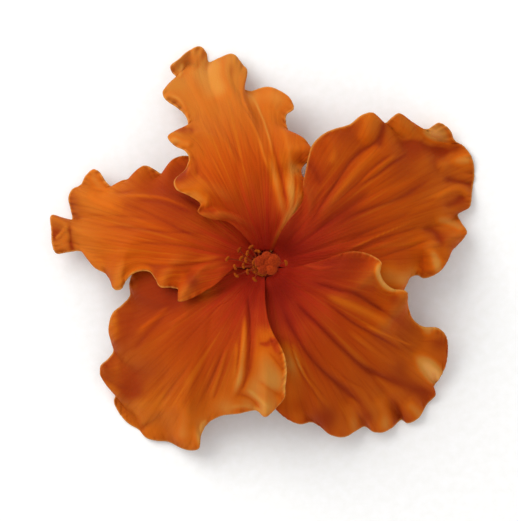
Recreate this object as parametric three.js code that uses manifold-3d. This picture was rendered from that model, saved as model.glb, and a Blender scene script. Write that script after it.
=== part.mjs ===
// Hibiscus blossom, picked and lying face up: five ruffled petals, staminal column, pistil, calyx,
// epicalyx and a short cut pedicel. Millimetres, +Z up. The bloom's axis is vertical, and the drooping
// petals rest on the surface z = 0 with the flattened undersides of their lowest lobes.
//
// The petals overlap in a ring. Seen from above, each one's counter-clockwise side lies over its
// neighbour (the "over" side), and its clockwise side is tucked under the other one (the "under" side).
import * as THREE from 'three';
import { mergeVertices } from 'three/addons/utils/BufferGeometryUtils.js';
import Module from 'manifold-3d';

const wasm = await Module();
wasm.setup();

// ---------------------------------------------------------------- driving dimensions
const TAU = 2 * Math.PI;
const PETAL_STEP = 72;               // degrees from one petal to the next
const FIRST_AZIMUTH = 94;            // degrees, where the top petal's claw stands
const PETAL_THICKNESS = 0.6;
const PETAL_ROWS = 26;               // from claw to tip
const PETAL_COLUMNS = 18;            // from under side to over side
// The claws are the petals' narrow feet. They stand in a ring, each half this many degrees wide.
const CLAW = { radius: 4.8, halfAngle: 29, height: 10 };
// The trumpet that all petals share: a steep throat that flares, then a limb that bends and droops.
const TRUMPET = { rise: 26, flare: 8, limbStart: 25, bend: 15, droop: 0.75 };
// How far the over side stands above the trumpet, and the under side below it, and over how much
// radius that offset grows from the claws.
const OVERLAP = { lift: 3.2, start: 3.5 };
// The ruffle is how the margin leaves its own smoothed line. In plan it fades within sideDepth and
// tipDepth, and in height within valley, all as shares of the petal. Lean slants its folds.
const RUFFLE = { smoothing: 7, sideDepth: 0.22, tipDepth: 0.12, valley: 0.45, lean: 0.4 };
// Grooves spread by fan on their way out, and reach their depth at the share called full.
const GROOVE = { fan: 1.5, width: 0.03, depth: 1, full: 0.4 };
const RESTING_SOFTNESS = 1;          // height over which a lobe bends into its flat resting spot

// Each petal's margin, walked counter-clockwise from the claw: out along the under side, across the
// tip, and back in along the over side. Points are [x, y] from the bloom's axis, where the margin's
// lobes and notches turn. A third number lifts the margin there, where an edge curls up or down.
// droop is the limb's slope, frill how high a lobe stands for each millimetre that it juts out, arch
// how far the middle bulges up, and grooves say where across the claw each groove starts.
const PETALS = [
  {
    name: 'petal_top',
    droop: 0.93,
    frill: 0.8,
    arch: 1,
    grooves: [-0.2, 0.05, 0.25],
    under: [
      [6.3, 9.2], [9.5, 13], [13, 18], [15, 23], [14.8, 28], [12.9, 31], [12.9, 33.3], [15.2, 36],
      [16.8, 38.8], [15.6, 41.2], [13, 44.2], [10, 45.2], [8.2, 46.8], [7.3, 50], [7.6, 52.3],
      [10.1, 54.4], [8.6, 58.3],
    ],
    tip: [
      [5, 61], [1.2, 62.3], [-2, 61.8], [-5, 60.9], [-7.6, 61.9], [-9.1, 64.2], [-6.3, 68.1],
      [-8.2, 70.8], [-10.6, 73.8], [-12.2, 74.3], [-16, 73], [-20, 71.6], [-20.8, 74.8],
      [-23, 77, 1], [-27.5, 75, 2], [-30.5, 72.2, 3],
    ],
    over: [
      [-33.3, 70, 2], [-32.8, 67.6], [-31.3, 65.8], [-33.8, 63.6], [-36, 60.3], [-35, 57.8],
      [-31, 55], [-28, 52.2], [-27, 49], [-28.6, 46.8], [-34, 44.5], [-31.5, 41.2],
      [-28, 39.4, 1.5], [-26.5, 37, 2], [-27.6, 33, 1], [-31.6, 28.6], [-30.8, 25.9], [-26, 23.5],
      [-22.3, 20.7], [-23.2, 18], [-19, 15.6], [-13.5, 14.8], [-9.5, 12], [-6, 8.3],
    ],
  },
  {
    name: 'petal_left',
    droop: 0.93,
    frill: 0.8,
    arch: 1,
    grooves: [-0.2, 0.05, 0.25],
    under: [
      [-5.3, 8.6], [-8, 13.8], [-12, 20], [-16, 26.5], [-20, 32, -1], [-23.2, 36, -2.5],
      [-26.8, 37.7, -3], [-30.5, 37.4, -2], [-33.2, 35.6], [-34.6, 32.8], [-36.3, 31.7],
      [-39, 33.3], [-42, 34.5], [-44.6, 33.2], [-47.3, 30.2], [-50.5, 29.2], [-53.5, 27.1],
      [-56, 28.9], [-58.2, 32.2], [-60.3, 33.4],
    ],
    tip: [
      [-63.3, 31.3], [-65.2, 28], [-68.2, 26.3], [-69.5, 23.4], [-68.8, 19.5], [-68.4, 15.7],
      [-71.5, 16.3, 1], [-75.4, 17.1, 3], [-75.4, 12, 4], [-74.9, 6.5, 4],
    ],
    over: [
      [-73.3, 3.7, 2], [-69, 4.2], [-64.6, 4.4], [-62.2, 1.6], [-59.5, -1.4], [-55.6, -3.6],
      [-53.9, -6.1], [-52.6, -8.8], [-50.2, -8.9], [-48.6, -6.2], [-46.5, -3.8], [-43.5, -2.5],
      [-40, -2.8], [-38, -5.2], [-36.3, -8], [-32.5, -8.2], [-29.4, -9.3], [-30, -12.9],
      [-26, -12.1], [-21.5, -9.8], [-17, -7], [-12.9, -3.1], [-9.8, -1],
    ],
  },
  {
    name: 'petal_lower_left',
    droop: 0.955,
    frill: 1.0,
    arch: 2,
    grooves: [-0.2, 0.05, 0.3],
    under: [
      [-8.6, -1.9], [-13, -0.7], [-19, -2.5], [-25, -5], [-31, -4, -1.5], [-37, 0.5, -3.5],
      [-42, 1, -3.5], [-45.8, -2.5, -2], [-47.4, -7], [-47.3, -11], [-50.3, -14.5], [-53.4, -17.2],
      [-55, -23], [-54.2, -27.3], [-53.5, -30.8], [-55.7, -33.8], [-58, -36], [-58, -39.7],
      [-55.6, -42.1], [-53.2, -44], [-52.9, -46.2], [-53.4, -48.8],
    ],
    tip: [
      [-52, -52.3], [-48.5, -56.5], [-44.7, -58.8], [-42, -61.6], [-38.5, -62.6], [-34, -63],
      [-29.5, -65.1], [-26, -65.8], [-23.3, -65], [-22.6, -60.5], [-20.2, -56.2], [-15.5, -53.3],
      [-9, -52.3], [-3, -51.2], [0, -53.3], [3.4, -50.6],
    ],
    over: [
      [6.8, -46.2, 1.5], [7, -42.5, 2.5], [7.5, -37, 3], [6.7, -31.5, 3], [4.9, -27.6, 2],
      [3, -24.4, 1], [1.4, -20.5], [0.4, -16], [0, -11.5],
    ],
  },
  {
    name: 'petal_lower_right',
    droop: 0.975,
    frill: 1.5,
    arch: 0,
    grooves: [-0.3, -0.1, 0.08, 0.25],
    under: [
      [-1, -9.9], [-2.2, -16], [-2.5, -23], [-1.5, -30], [0, -37], [1, -43], [1.8, -48],
      [4.2, -51.2],
    ],
    tip: [
      [8, -54.5], [12.6, -56.3], [16.3, -55.7], [19.5, -57.3], [23, -60.1], [28, -61], [32, -59],
      [35.4, -57.5], [38.3, -59.3], [41.5, -59.5], [45, -57.9], [48.4, -55.3], [50.6, -56.4],
      [54.4, -54.4], [57.3, -49.8], [60.4, -46.2], [59.5, -44.2], [62, -40], [63.8, -35.8],
    ],
    over: [
      [64.4, -30], [63.6, -25.2], [60.5, -22.4], [55.5, -22], [51.8, -19.2], [49.8, -14],
      [49.2, -9.6, 1.5], [44.2, -8.5, 3], [41, -5.8, 4], [39.6, -2, 4], [40.2, 0.5, 2], [36.5, 3.2],
      [31, 4.4], [25.5, 3.4], [20, 1.3], [15, 0], [10.5, -1.2],
    ],
  },
  {
    name: 'petal_right',
    droop: 0.885,
    frill: 1.1,
    arch: 0,
    grooves: [-0.3, -0.1, 0.08, 0.25],
    under: [
      [9.5, -2.2], [15, -4.5], [22, -6], [29, -7.5], [36, -10], [42, -12], [47, -11], [49.4, -7.5],
      [51, -4.7], [53.6, -4], [55.6, -5], [59.5, -3.8], [62.6, -1.3], [63.1, 0.8], [61.6, 4.2],
      [62.8, 6],
    ],
    tip: [
      [64.8, 4.4], [68, 6.7], [70.6, 9.8], [71.3, 11.2], [69.2, 15], [68.3, 17.5], [70, 18.7],
      [72.4, 20.2], [73.3, 25.5], [74.2, 32], [73.4, 37.3], [70.6, 41.6], [67.3, 43.6, 2],
      [65.4, 47.2, 3],
    ],
    over: [
      [61.5, 49.7, 3], [56.8, 47.5, 1], [51, 50.5], [47, 53], [44.5, 51.4], [42.2, 49.6],
      [39.7, 51.4], [37.8, 53], [34, 52.2], [29.5, 48.8], [24.5, 47.2], [20.5, 45.4], [16.5, 41.5],
      [15.1, 37.5], [14.1, 32.5], [13.2, 28], [13.4, 23], [11.5, 19], [8.3, 15.4], [5.3, 10.6],
    ],
  },
];

// ---------------------------------------------------------------- petals
const radians = THREE.MathUtils.degToRad;
const mix = THREE.MathUtils.lerp;

function polar(radius, azimuth) {
  return [radius * Math.cos(radians(azimuth)), radius * Math.sin(radians(azimuth))];
}

// Height of the shared trumpet at a distance from the axis.
function trumpetHeight(radius, droop = TRUMPET.droop) {
  const climb = TRUMPET.rise * (1 - Math.exp(-(radius - CLAW.radius) / TRUMPET.flare));
  const limb = Math.max(0, radius - TRUMPET.limbStart);
  return CLAW.height + climb - droop * (Math.hypot(limb, TRUMPET.bend) - TRUMPET.bend);
}

// How far the over side stands above the trumpet at a distance from the axis.
const overlapLift = (radius) => OVERLAP.lift * (1 - Math.exp(-(radius - CLAW.radius) / OVERLAP.start));

// How deep a petal's grooves are at a point. They start at the claw and spread on their way out.
function grooveDepth(petal, across, out) {
  const vein = (across - 0.5) / mix(1, GROOVE.fan, out);
  let grooved = 0;
  for (const at of petal.grooves) grooved += Math.exp(-(((vein - at) / GROOVE.width) ** 2));
  const begun = Math.sin((Math.PI / 2) * Math.min(1, out / GROOVE.full)) ** 2;
  return GROOVE.depth * begun * grooved;
}

// A petal's whole margin as a fine line with its smoothed twin. Each sample holds its point, its smooth
// point, the ruffle's lift there and the distance walked along the trumpet from the claw.
function traceMargin(petal, azimuth) {
  const points = [
    polar(CLAW.radius, azimuth - CLAW.halfAngle), ...petal.under, ...petal.tip, ...petal.over,
    polar(CLAW.radius, azimuth + CLAW.halfAngle),
  ].map(([x, y, lift = 0]) => new THREE.Vector3(x, y, lift));
  const curve = new THREE.CatmullRomCurve3(points, false, 'centripetal');
  const perSpan = 10;
  const last = (points.length - 1) * perSpan;
  const line = [];
  for (let i = 0; i <= last; i++) {
    const { x, y, z: lift } = curve.getPoint(i / last);
    line.push({ x, y, lift, walked: 0 });
  }
  for (let i = 1; i <= last; i++) {
    const [a, b] = [line[i - 1], line[i]];
    const climb = trumpetHeight(Math.hypot(b.x, b.y)) - trumpetHeight(Math.hypot(a.x, a.y));
    b.walked = a.walked + Math.hypot(b.x - a.x, b.y - a.y, climb);
  }
  for (const p of line) {
    // A running average that narrows to nothing at the claw, so that both lines start there.
    const reach = Math.min(RUFFLE.smoothing, Math.min(p.walked, line[last].walked - p.walked) / 2.5) + 1e-6;
    let [sum, x, y] = [0, 0, 0];
    for (let j = 0; j <= last; j++) {
      const away = (line[j].walked - p.walked) / reach;
      if (Math.abs(away) > 3) continue;
      const step = line[Math.min(j + 1, last)].walked - line[Math.max(j - 1, 0)].walked;
      const weight = step * Math.exp(-0.5 * away * away);
      sum += weight;
      x += weight * line[j].x;
      y += weight * line[j].y;
    }
    p.smoothX = x / sum;
    p.smoothY = y / sum;
  }
  for (let i = 0; i <= last; i++) {
    // Lobes stand up and notches dip, by how far the margin leaves its smoothed line.
    const [a, b] = [line[Math.max(i - 1, 0)], line[Math.min(i + 1, last)]];
    const [tx, ty] = [b.smoothX - a.smoothX, b.smoothY - a.smoothY];
    const p = line[i];
    const outward = ((p.x - p.smoothX) * ty - (p.y - p.smoothY) * tx) / (Math.hypot(tx, ty) + 1e-9);
    p.lift += petal.frill * outward;
  }
  const tipFrom = petal.under.length * perSpan;
  const tipTo = tipFrom + (petal.tip.length + 1) * perSpan;
  return { line, last, tipFrom, tipTo };
}

// The margin at an even share of the way from one sample to another.
function along(line, from, to, share) {
  const target = mix(line[from].walked, line[to].walked, share);
  const step = Math.sign(to - from);
  let i = from;
  while (i + step !== to && (line[i + step].walked - target) * step < 0) i += step;
  const [a, b] = [line[i], line[i + step]];
  const t = (target - a.walked) / (b.walked - a.walked);
  const at = (key) => mix(a[key], b[key], t);
  const smooth = [at('smoothX'), at('smoothY')];
  return { smooth, ruffle: [at('x') - smooth[0], at('y') - smooth[1], at('lift')] };
}

// What is left of a free edge's ruffle at a share of the way in from it.
const fade = (share, reach) => (share < reach ? Math.cos((Math.PI / 2) * (share / reach)) ** 2 : 0);

// A petal as a function of two shares: across, from its under side to its over side, and out, from
// claw to tip. It gives the point of the petal's middle surface there.
function petalShape(petal, azimuth) {
  const { line, last, tipFrom, tipTo } = traceMargin(petal, azimuth);
  const underSide = (share) => along(line, 0, tipFrom, share);
  const overSide = (share) => along(line, last, tipTo, share);
  const tipSide = (share) => along(line, tipFrom, tipTo, share);
  const [underClaw, overClaw, underTip, overTip] = [underSide(0), overSide(0), tipSide(0), tipSide(1)];

  // Where the petal would lie with a smooth margin, filled in from its four sides.
  function plan(across, out) {
    const [under, over, tip] = [underSide(out), overSide(out), tipSide(across)];
    const claw = polar(CLAW.radius, azimuth + mix(-1, 1, across) * CLAW.halfAngle);
    return [0, 1].map((k) => mix(under.smooth[k], over.smooth[k], across)
      + mix(claw[k], tip.smooth[k], out)
      - mix(
        mix(underClaw.smooth[k], overClaw.smooth[k], across),
        mix(underTip.smooth[k], overTip.smooth[k], across),
        out,
      ));
  }

  // How far a free edge's ruffle shifts the point along one axis (0 x, 1 y, 2 z). The folds lean
  // towards the tip as they run inwards, by looking the height up further along the edge.
  function ruffle(across, out, axis) {
    const sideReach = axis < 2 ? RUFFLE.sideDepth : RUFFLE.valley;
    const tipReach = axis < 2 ? RUFFLE.tipDepth : RUFFLE.valley;
    const leaned = (inward) => (axis < 2 ? out : 1 - (1 - out) * (1 - inward) ** RUFFLE.lean);
    const [u, o, t] = [fade(across, sideReach), fade(1 - across, sideReach), fade(1 - out, tipReach)];
    return u * underSide(leaned(across)).ruffle[axis]
      + o * overSide(leaned(1 - across)).ruffle[axis]
      + t * tipSide(across).ruffle[axis]
      - t * (u * underTip.ruffle[axis] + o * overTip.ruffle[axis]);
  }

  return (across, out) => {
    const [x, y] = plan(across, out);
    const [dx, dy, dz] = [0, 1, 2].map((axis) => ruffle(across, out, axis));
    const radius = Math.hypot(x, y);
    const overlap = overlapLift(radius) * mix(-1, 1, across);
    const arch = petal.arch * Math.sin(Math.PI * across) * Math.sin(Math.PI * out);
    const height = trumpetHeight(radius, petal.droop) + overlap + arch + dz - grooveDepth(petal, across, out);
    return new THREE.Vector3(x + dx, y + dy, restOnSurface(height));
  };
}

// The petal's middle surface as rows of points from claw to tip.
function petalSurface(petal, azimuth) {
  const shape = petalShape(petal, azimuth);
  const rows = [];
  for (let row = 0; row <= PETAL_ROWS; row++) {
    const points = [];
    for (let column = 0; column <= PETAL_COLUMNS; column++) {
      points.push(shape(column / PETAL_COLUMNS, row / PETAL_ROWS));
    }
    rows.push(points);
  }
  return rows;
}

// Bends what would reach below the surface into a flat spot on it.
function restOnSurface(height) {
  const above = height - PETAL_THICKNESS / 2;
  const soft = RESTING_SOFTNESS;
  if (above >= soft) return height;
  const settled = above <= -soft ? 0 : (above + soft) ** 2 / (4 * soft);
  return settled + PETAL_THICKNESS / 2;
}

// A closed blade of even thickness around a middle surface, split into triangles alike on both faces.
function blade(rows, thickness) {
  const columnCount = rows[0].length;
  const middle = rows.flat();
  const under = middle.length;
  const id = (row, column) => row * columnCount + column;
  const cells = [];
  for (let row = 0; row + 1 < rows.length; row++) {
    for (let column = 0; column + 1 < columnCount; column++) {
      const [a, b] = [id(row, column), id(row + 1, column)];
      const [c, d] = [b + 1, a + 1];
      cells.push([a, b, c], [a, c, d]);
    }
  }
  const normals = surface(middle, cells).getAttribute('normal');
  const normal = (i) => new THREE.Vector3().fromBufferAttribute(normals, i);
  const upper = middle.map((p, i) => p.clone().addScaledVector(normal(i), thickness / 2));
  const lower = middle.map((p, i) => p.clone().addScaledVector(normal(i), -thickness / 2));
  const faces = cells.flatMap(([a, b, c]) => [[a, b, c], [under + a, under + c, under + b]]);
  const rim = [];
  for (let row = 0; row < rows.length - 1; row++) rim.push(id(row, 0));
  for (let column = 0; column < columnCount - 1; column++) rim.push(id(rows.length - 1, column));
  for (let row = rows.length - 1; row > 0; row--) rim.push(id(row, columnCount - 1));
  for (let column = columnCount - 1; column > 0; column--) rim.push(id(0, column));
  rim.forEach((here, i) => {
    const next = rim[(i + 1) % rim.length];
    faces.push([here, under + here, under + next], [here, under + next, next]);
  });
  return surface([...upper, ...lower], faces);
}

function surface(points, faces) {
  const geometry = new THREE.BufferGeometry();
  geometry.setAttribute('position', new THREE.Float32BufferAttribute(points.flatMap((p) => p.toArray()), 3));
  geometry.setIndex(faces.flat());
  geometry.computeVertexNormals();
  return geometry;
}

// ---------------------------------------------------------------- materials
const material = (color, roughness) => new THREE.MeshStandardMaterial({ color, roughness, metalness: 0 });
const petalMaterial = material(0xc8560e, 0.6);
const columnMaterial = material(0xa83a16, 0.55);
const pistilMaterial = material(0xa33212, 0.8);
const calyxMaterial = material(0x5d7a34, 0.65);
const bractMaterial = material(0x4c6b2b, 0.65);
const stemMaterial = material(0x6a7d3c, 0.6);

function makePetals() {
  return PETALS.map((petal, i) => {
    const azimuth = FIRST_AZIMUTH + PETAL_STEP * i;
    return named(petal.name, blade(petalSurface(petal, azimuth), PETAL_THICKNESS), petalMaterial);
  });
}

// ---------------------------------------------------------------- manifold helpers
function toSolid(geometry) {
  const merged = mergeVertices(new THREE.BufferGeometry()
    .setAttribute('position', geometry.getAttribute('position').clone())
    .setIndex(geometry.index), 1e-4);
  return new wasm.Manifold(new wasm.Mesh({
    numProp: 3,
    vertProperties: merged.attributes.position.array,
    triVerts: new Uint32Array(merged.index.array),
  }));
}

function fromSolid(solid) {
  const mesh = solid.getMesh();
  const geometry = new THREE.BufferGeometry();
  geometry.setAttribute('position', new THREE.BufferAttribute(mesh.vertProperties, 3));
  geometry.setIndex(new THREE.BufferAttribute(mesh.triVerts, 1));
  geometry.computeVertexNormals();
  return geometry;
}

const fuse = (geometries) => fromSolid(geometries.map(toSolid).reduce((all, one) => all.add(one)));

// A closed round bar along a path. Its radius at a share of the way is given by a function.
function bar(path, steps, sides, radiusAt, from = 0, to = 1) {
  const frames = path.computeFrenetFrames(steps);
  const points = [];
  for (let i = 0; i <= steps; i++) {
    const share = mix(from, to, i / steps);
    const centre = path.getPointAt(share);
    const nearest = Math.round(share * steps);
    for (let side = 0; side < sides; side++) {
      const turn = (TAU * side) / sides;
      points.push(centre.clone()
        .addScaledVector(frames.normals[nearest], radiusAt(share) * Math.cos(turn))
        .addScaledVector(frames.binormals[nearest], radiusAt(share) * Math.sin(turn)));
    }
  }
  const faces = [];
  for (let i = 0; i < steps; i++) {
    for (let side = 0; side < sides; side++) {
      const [a, b] = [i * sides + side, i * sides + ((side + 1) % sides)];
      faces.push([a, b, b + sides], [a, b + sides, a + sides]);
    }
  }
  for (let side = 1; side + 1 < sides; side++) {
    const end = steps * sides;
    faces.push([0, side + 1, side], [end, end + side, end + side + 1]);
  }
  return surface(points, faces);
}

// A seeded random draw between 0 and 1.
function seeded(seed) {
  let state = seed;
  return () => {
    state = (state * 1664525 + 1013904223) % 4294967296;
    return state / 4294967296;
  };
}

// ---------------------------------------------------------------- column and pistil
// Both follow one bent path from the receptacle to where the style divides.
const COLUMN_PATH = new THREE.CatmullRomCurve3([
  [0, 0, 9.4], [0, 0, 18], [-1.1, -0.3, 30], [-2.3, -0.7, 42], [-2, -0.5, 52], [-0.4, 0.1, 60], [0.6, 0.2, 65],
].map((point) => new THREE.Vector3(...point)));
const COLUMN_STEPS = 22;
const COLUMN_SIDES = 10;
// The staminal tube: its outer and bore radius, where it starts and ends, and the same at its wide foot.
const TUBE = { outer: 1.7, inner: 1, from: 0.005, to: 0.93, footOuter: 4, footInner: 3, footLength: 0.075 };
const STYLE = { radius: 0.55, ovaryRadius: 2.65, from: 0.004, sides: 8 };
const STIGMA = { branches: 5, turn: 20, reach: 2.35, rise: 3.8, root: 0.6, branchRadius: 0.45 };
const STIGMA_PAD = { radius: 1.75, flatness: 0.75, around: 8, upright: 6 };
const STAMEN = { count: 26, from: 0.42, to: 0.9, root: 1.25, length: 5.2, vary: 1.3, rise: 0.6, radius: 0.3 };
const ANTHER = { radius: 0.9, width: 0.8, length: 1.2 };
const GOLDEN_ANGLE = radians(137.5);

// A radius that is narrow along the path and widens at its foot, over the ovary.
function footed(narrow, foot) {
  return (share) => mix(narrow, foot, Math.exp(-((share / TUBE.footLength) ** 2)));
}

function filamentPath(share, azimuth, length) {
  const axis = COLUMN_PATH.getPointAt(share);
  const out = new THREE.Vector3(Math.cos(azimuth), Math.sin(azimuth), 0);
  const at = (reach, rise) => axis.clone().addScaledVector(out, reach).setZ(axis.z + rise);
  const rise = STAMEN.rise * length;
  return new THREE.CatmullRomCurve3([at(STAMEN.root, 0), at(0.6 * length, rise / 3), at(length, rise)]);
}

// An anther is a few-sided grain, longest across its filament.
function anther(tip, azimuth) {
  const grain = new THREE.IcosahedronGeometry(ANTHER.radius, 0);
  grain.scale(ANTHER.width, ANTHER.length, ANTHER.width).rotateZ(azimuth).translate(tip.x, tip.y, tip.z);
  return grain.setIndex([...Array(grain.getAttribute('position').count).keys()]);
}

function makeColumn() {
  const tubeBar = (radiusAt, from, to) => bar(COLUMN_PATH, COLUMN_STEPS, COLUMN_SIDES, radiusAt, from, to);
  const outer = tubeBar(footed(TUBE.outer, TUBE.footOuter), TUBE.from, TUBE.to);
  const bore = tubeBar(footed(TUBE.inner, TUBE.footInner), 0, 1);
  const random = seeded(7);
  const stamens = [];
  for (let i = 0; i < STAMEN.count; i++) {
    const share = mix(STAMEN.from, STAMEN.to, (i + 0.5 * random()) / STAMEN.count);
    const length = STAMEN.length + STAMEN.vary * (random() - 0.5);
    const path = filamentPath(share, i * GOLDEN_ANGLE, length);
    stamens.push(bar(path, 3, 4, () => STAMEN.radius), anther(path.getPoint(1), i * GOLDEN_ANGLE));
  }
  const column = toSolid(fuse([outer, ...stamens])).subtract(toSolid(bore));
  return named('staminal_column', fromSolid(column), columnMaterial);
}

// The ovary and its style, which divides at the top into branches that end in velvety pads.
function makePistil() {
  const styleRadius = footed(STYLE.radius, STYLE.ovaryRadius);
  const parts = [bar(COLUMN_PATH, COLUMN_STEPS, STYLE.sides, styleRadius, STYLE.from, 1)];
  const fork = COLUMN_PATH.getPointAt(1);
  for (let i = 0; i < STIGMA.branches; i++) {
    const turn = radians(STIGMA.turn) + (TAU * i) / STIGMA.branches;
    const out = new THREE.Vector3(Math.cos(turn), Math.sin(turn), 0);
    const at = (reach, rise) => fork.clone().addScaledVector(out, reach).setZ(fork.z + rise);
    const elbow = at(0.45 * STIGMA.reach, 0.35 * STIGMA.rise);
    const tip = at(STIGMA.reach, STIGMA.rise);
    const branch = new THREE.CatmullRomCurve3([at(0, -STIGMA.root), elbow, tip]);
    parts.push(bar(branch, 3, 5, () => STIGMA.branchRadius));
    const pad = new THREE.SphereGeometry(STIGMA_PAD.radius, STIGMA_PAD.around, STIGMA_PAD.upright);
    parts.push(pad.rotateX(Math.PI / 2).scale(1, 1, STIGMA_PAD.flatness).translate(tip.x, tip.y, tip.z));
  }
  return named('pistil', fuse(parts), pistilMaterial);
}

// ---------------------------------------------------------------- calyx, epicalyx, pedicel
// The calyx is a cup with pointed lobes. foot, sinus and tip are its radii at the receptacle, between
// two lobes and at a lobe's point.
const CALYX = { foot: 6.4, sinus: 10.5, tip: 17.5, thickness: 0.9, clearance: 1.1 };
const CALYX_LOBES = 5;
const COLUMNS_PER_LOBE = 8;
const CALYX_ROWS = 6;

// The calyx hugs the trumpet from below, clear of the petals' lowest sides.
function calyxHeight(radius) {
  return trumpetHeight(radius - CALYX.clearance) - overlapLift(radius) - CALYX.clearance;
}

// The middle surface of the calyx, and the way out of it towards the petals.
function calyxPoint(row, column) {
  const inLobe = (column % COLUMNS_PER_LOBE) / COLUMNS_PER_LOBE;
  const pointed = 1 - Math.abs(2 * inLobe - 1);
  const rim = mix(CALYX.sinus, CALYX.tip, pointed ** 0.85);
  const radius = mix(CALYX.foot, rim, row / CALYX_ROWS);
  const [x, y] = polar(radius, FIRST_AZIMUTH + (360 * column) / (CALYX_LOBES * COLUMNS_PER_LOBE));
  const slope = (calyxHeight(radius + 0.1) - calyxHeight(radius - 0.1)) / 0.2;
  return {
    place: new THREE.Vector3(x, y, calyxHeight(radius)),
    normal: new THREE.Vector3((-slope * x) / radius, (-slope * y) / radius, 1).normalize(),
  };
}

function makeCalyx() {
  const columns = CALYX_LOBES * COLUMNS_PER_LOBE;
  const inner = [];
  const outer = [];
  for (let row = 0; row <= CALYX_ROWS; row++) {
    for (let column = 0; column < columns; column++) {
      const { place, normal } = calyxPoint(row, column);
      inner.push(place.clone().addScaledVector(normal, CALYX.thickness / 2));
      outer.push(place.clone().addScaledVector(normal, -CALYX.thickness / 2));
    }
  }
  const under = inner.length;
  const top = CALYX_ROWS * columns;
  const faces = [];
  for (let column = 0; column < columns; column++) {
    const next = (column + 1) % columns;
    for (let row = 0; row < CALYX_ROWS; row++) {
      const [a, d] = [row * columns + column, row * columns + next];
      const [b, c] = [a + columns, d + columns];
      faces.push([a, b, c], [a, c, d]);
      faces.push([under + a, under + c, under + b], [under + a, under + d, under + c]);
    }
    const [here, beside] = [top + column, top + next];
    faces.push([column, next, under + next], [column, under + next, under + column]);
    faces.push([beside, here, under + here], [beside, under + here, under + beside]);
  }
  return named('calyx', surface([...inner, ...outer], faces), calyxMaterial);
}

// A solid of revolution about +Z from a closed profile of [radius, height] points.
function lathe(profile, sides) {
  const points = profile.map(([radius, height]) => new THREE.Vector2(radius, height));
  return new THREE.LatheGeometry([...points, points[0]], sides).rotateX(Math.PI / 2);
}

// The epicalyx is a ring under the calyx with narrow bracts that curve up and out.
const RING = { inner: 3.6, outer: 5.4, foot: 4, top: 5.4, slant: 0.9, sides: 28 };
const BRACT = { count: 7, turn: 15, reach: 14.5, rise: 8, radius: 0.75, taper: 0.6 };

function makeEpicalyx() {
  const profile = [
    [RING.inner, RING.foot], [RING.outer, RING.foot + 0.5], [RING.outer, RING.top],
    [RING.inner + RING.slant, RING.top],
  ];
  const parts = [lathe(profile, RING.sides)];
  for (let i = 0; i < BRACT.count; i++) {
    const azimuth = BRACT.turn + (360 * i) / BRACT.count;
    const at = (radius, height) => new THREE.Vector3(...polar(radius, azimuth), height);
    const path = new THREE.CatmullRomCurve3([
      at(RING.outer - 0.6, RING.top - 0.6),
      at(mix(RING.outer, BRACT.reach, 0.45), RING.top + 0.3 * BRACT.rise),
      at(BRACT.reach, RING.top + BRACT.rise),
    ]);
    parts.push(bar(path, 4, 5, (share) => BRACT.radius * (1 - BRACT.taper * share * share)));
  }
  return named('epicalyx', fuse(parts), bractMaterial);
}

// The pedicel is cut short just clear of the surface, and widens into the receptacle that carries
// the calyx, petals, column and pistil.
const PEDICEL = [[0, 1], [1.9, 1], [1.9, 3], [2.6, 4.2], [5.1, 6.4], [5.6, 7.4], [5.6, 9.3], [0, 9.3]];

const makePedicel = () => named('pedicel', lathe(PEDICEL, 20), stemMaterial);

// ---------------------------------------------------------------- the bloom
function named(name, geometry, material) {
  const mesh = new THREE.Mesh(geometry, material);
  mesh.name = name;
  return mesh;
}

const bloom = new THREE.Group();
bloom.name = 'hibiscus_bloom';
bloom.add(...makePetals(), makeColumn(), makePistil(), makeCalyx(), makeEpicalyx(), makePedicel());

// The origin is on the surface, under the middle of the bloom's outline.
const centre = new THREE.Box3().setFromObject(bloom, true).getCenter(new THREE.Vector3());
bloom.position.set(-centre.x, -centre.y, 0);

export default bloom;
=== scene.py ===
import math
import random

import bpy
import numpy as np
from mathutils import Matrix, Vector


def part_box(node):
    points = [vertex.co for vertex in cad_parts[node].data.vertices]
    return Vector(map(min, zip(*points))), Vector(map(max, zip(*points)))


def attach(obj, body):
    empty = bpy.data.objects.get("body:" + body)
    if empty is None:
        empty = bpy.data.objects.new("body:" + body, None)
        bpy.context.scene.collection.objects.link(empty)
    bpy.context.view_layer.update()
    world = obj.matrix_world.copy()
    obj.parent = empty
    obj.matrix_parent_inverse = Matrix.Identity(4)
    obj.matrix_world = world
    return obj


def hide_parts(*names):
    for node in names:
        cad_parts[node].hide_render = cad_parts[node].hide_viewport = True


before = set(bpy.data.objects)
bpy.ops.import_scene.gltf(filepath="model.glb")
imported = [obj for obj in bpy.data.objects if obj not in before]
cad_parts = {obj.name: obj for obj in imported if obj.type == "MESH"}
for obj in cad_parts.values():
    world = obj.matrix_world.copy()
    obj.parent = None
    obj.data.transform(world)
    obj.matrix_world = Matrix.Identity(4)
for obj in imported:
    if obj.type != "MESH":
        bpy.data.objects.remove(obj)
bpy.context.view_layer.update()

MM = 0.001
TAU = 2 * math.pi
TINY = 1e-9                                      # keeps what may be nothing from being divided by
AXIS = sum(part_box("pedicel"), Vector()) / 2      # the pedicel stands on the bloom's axis

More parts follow.
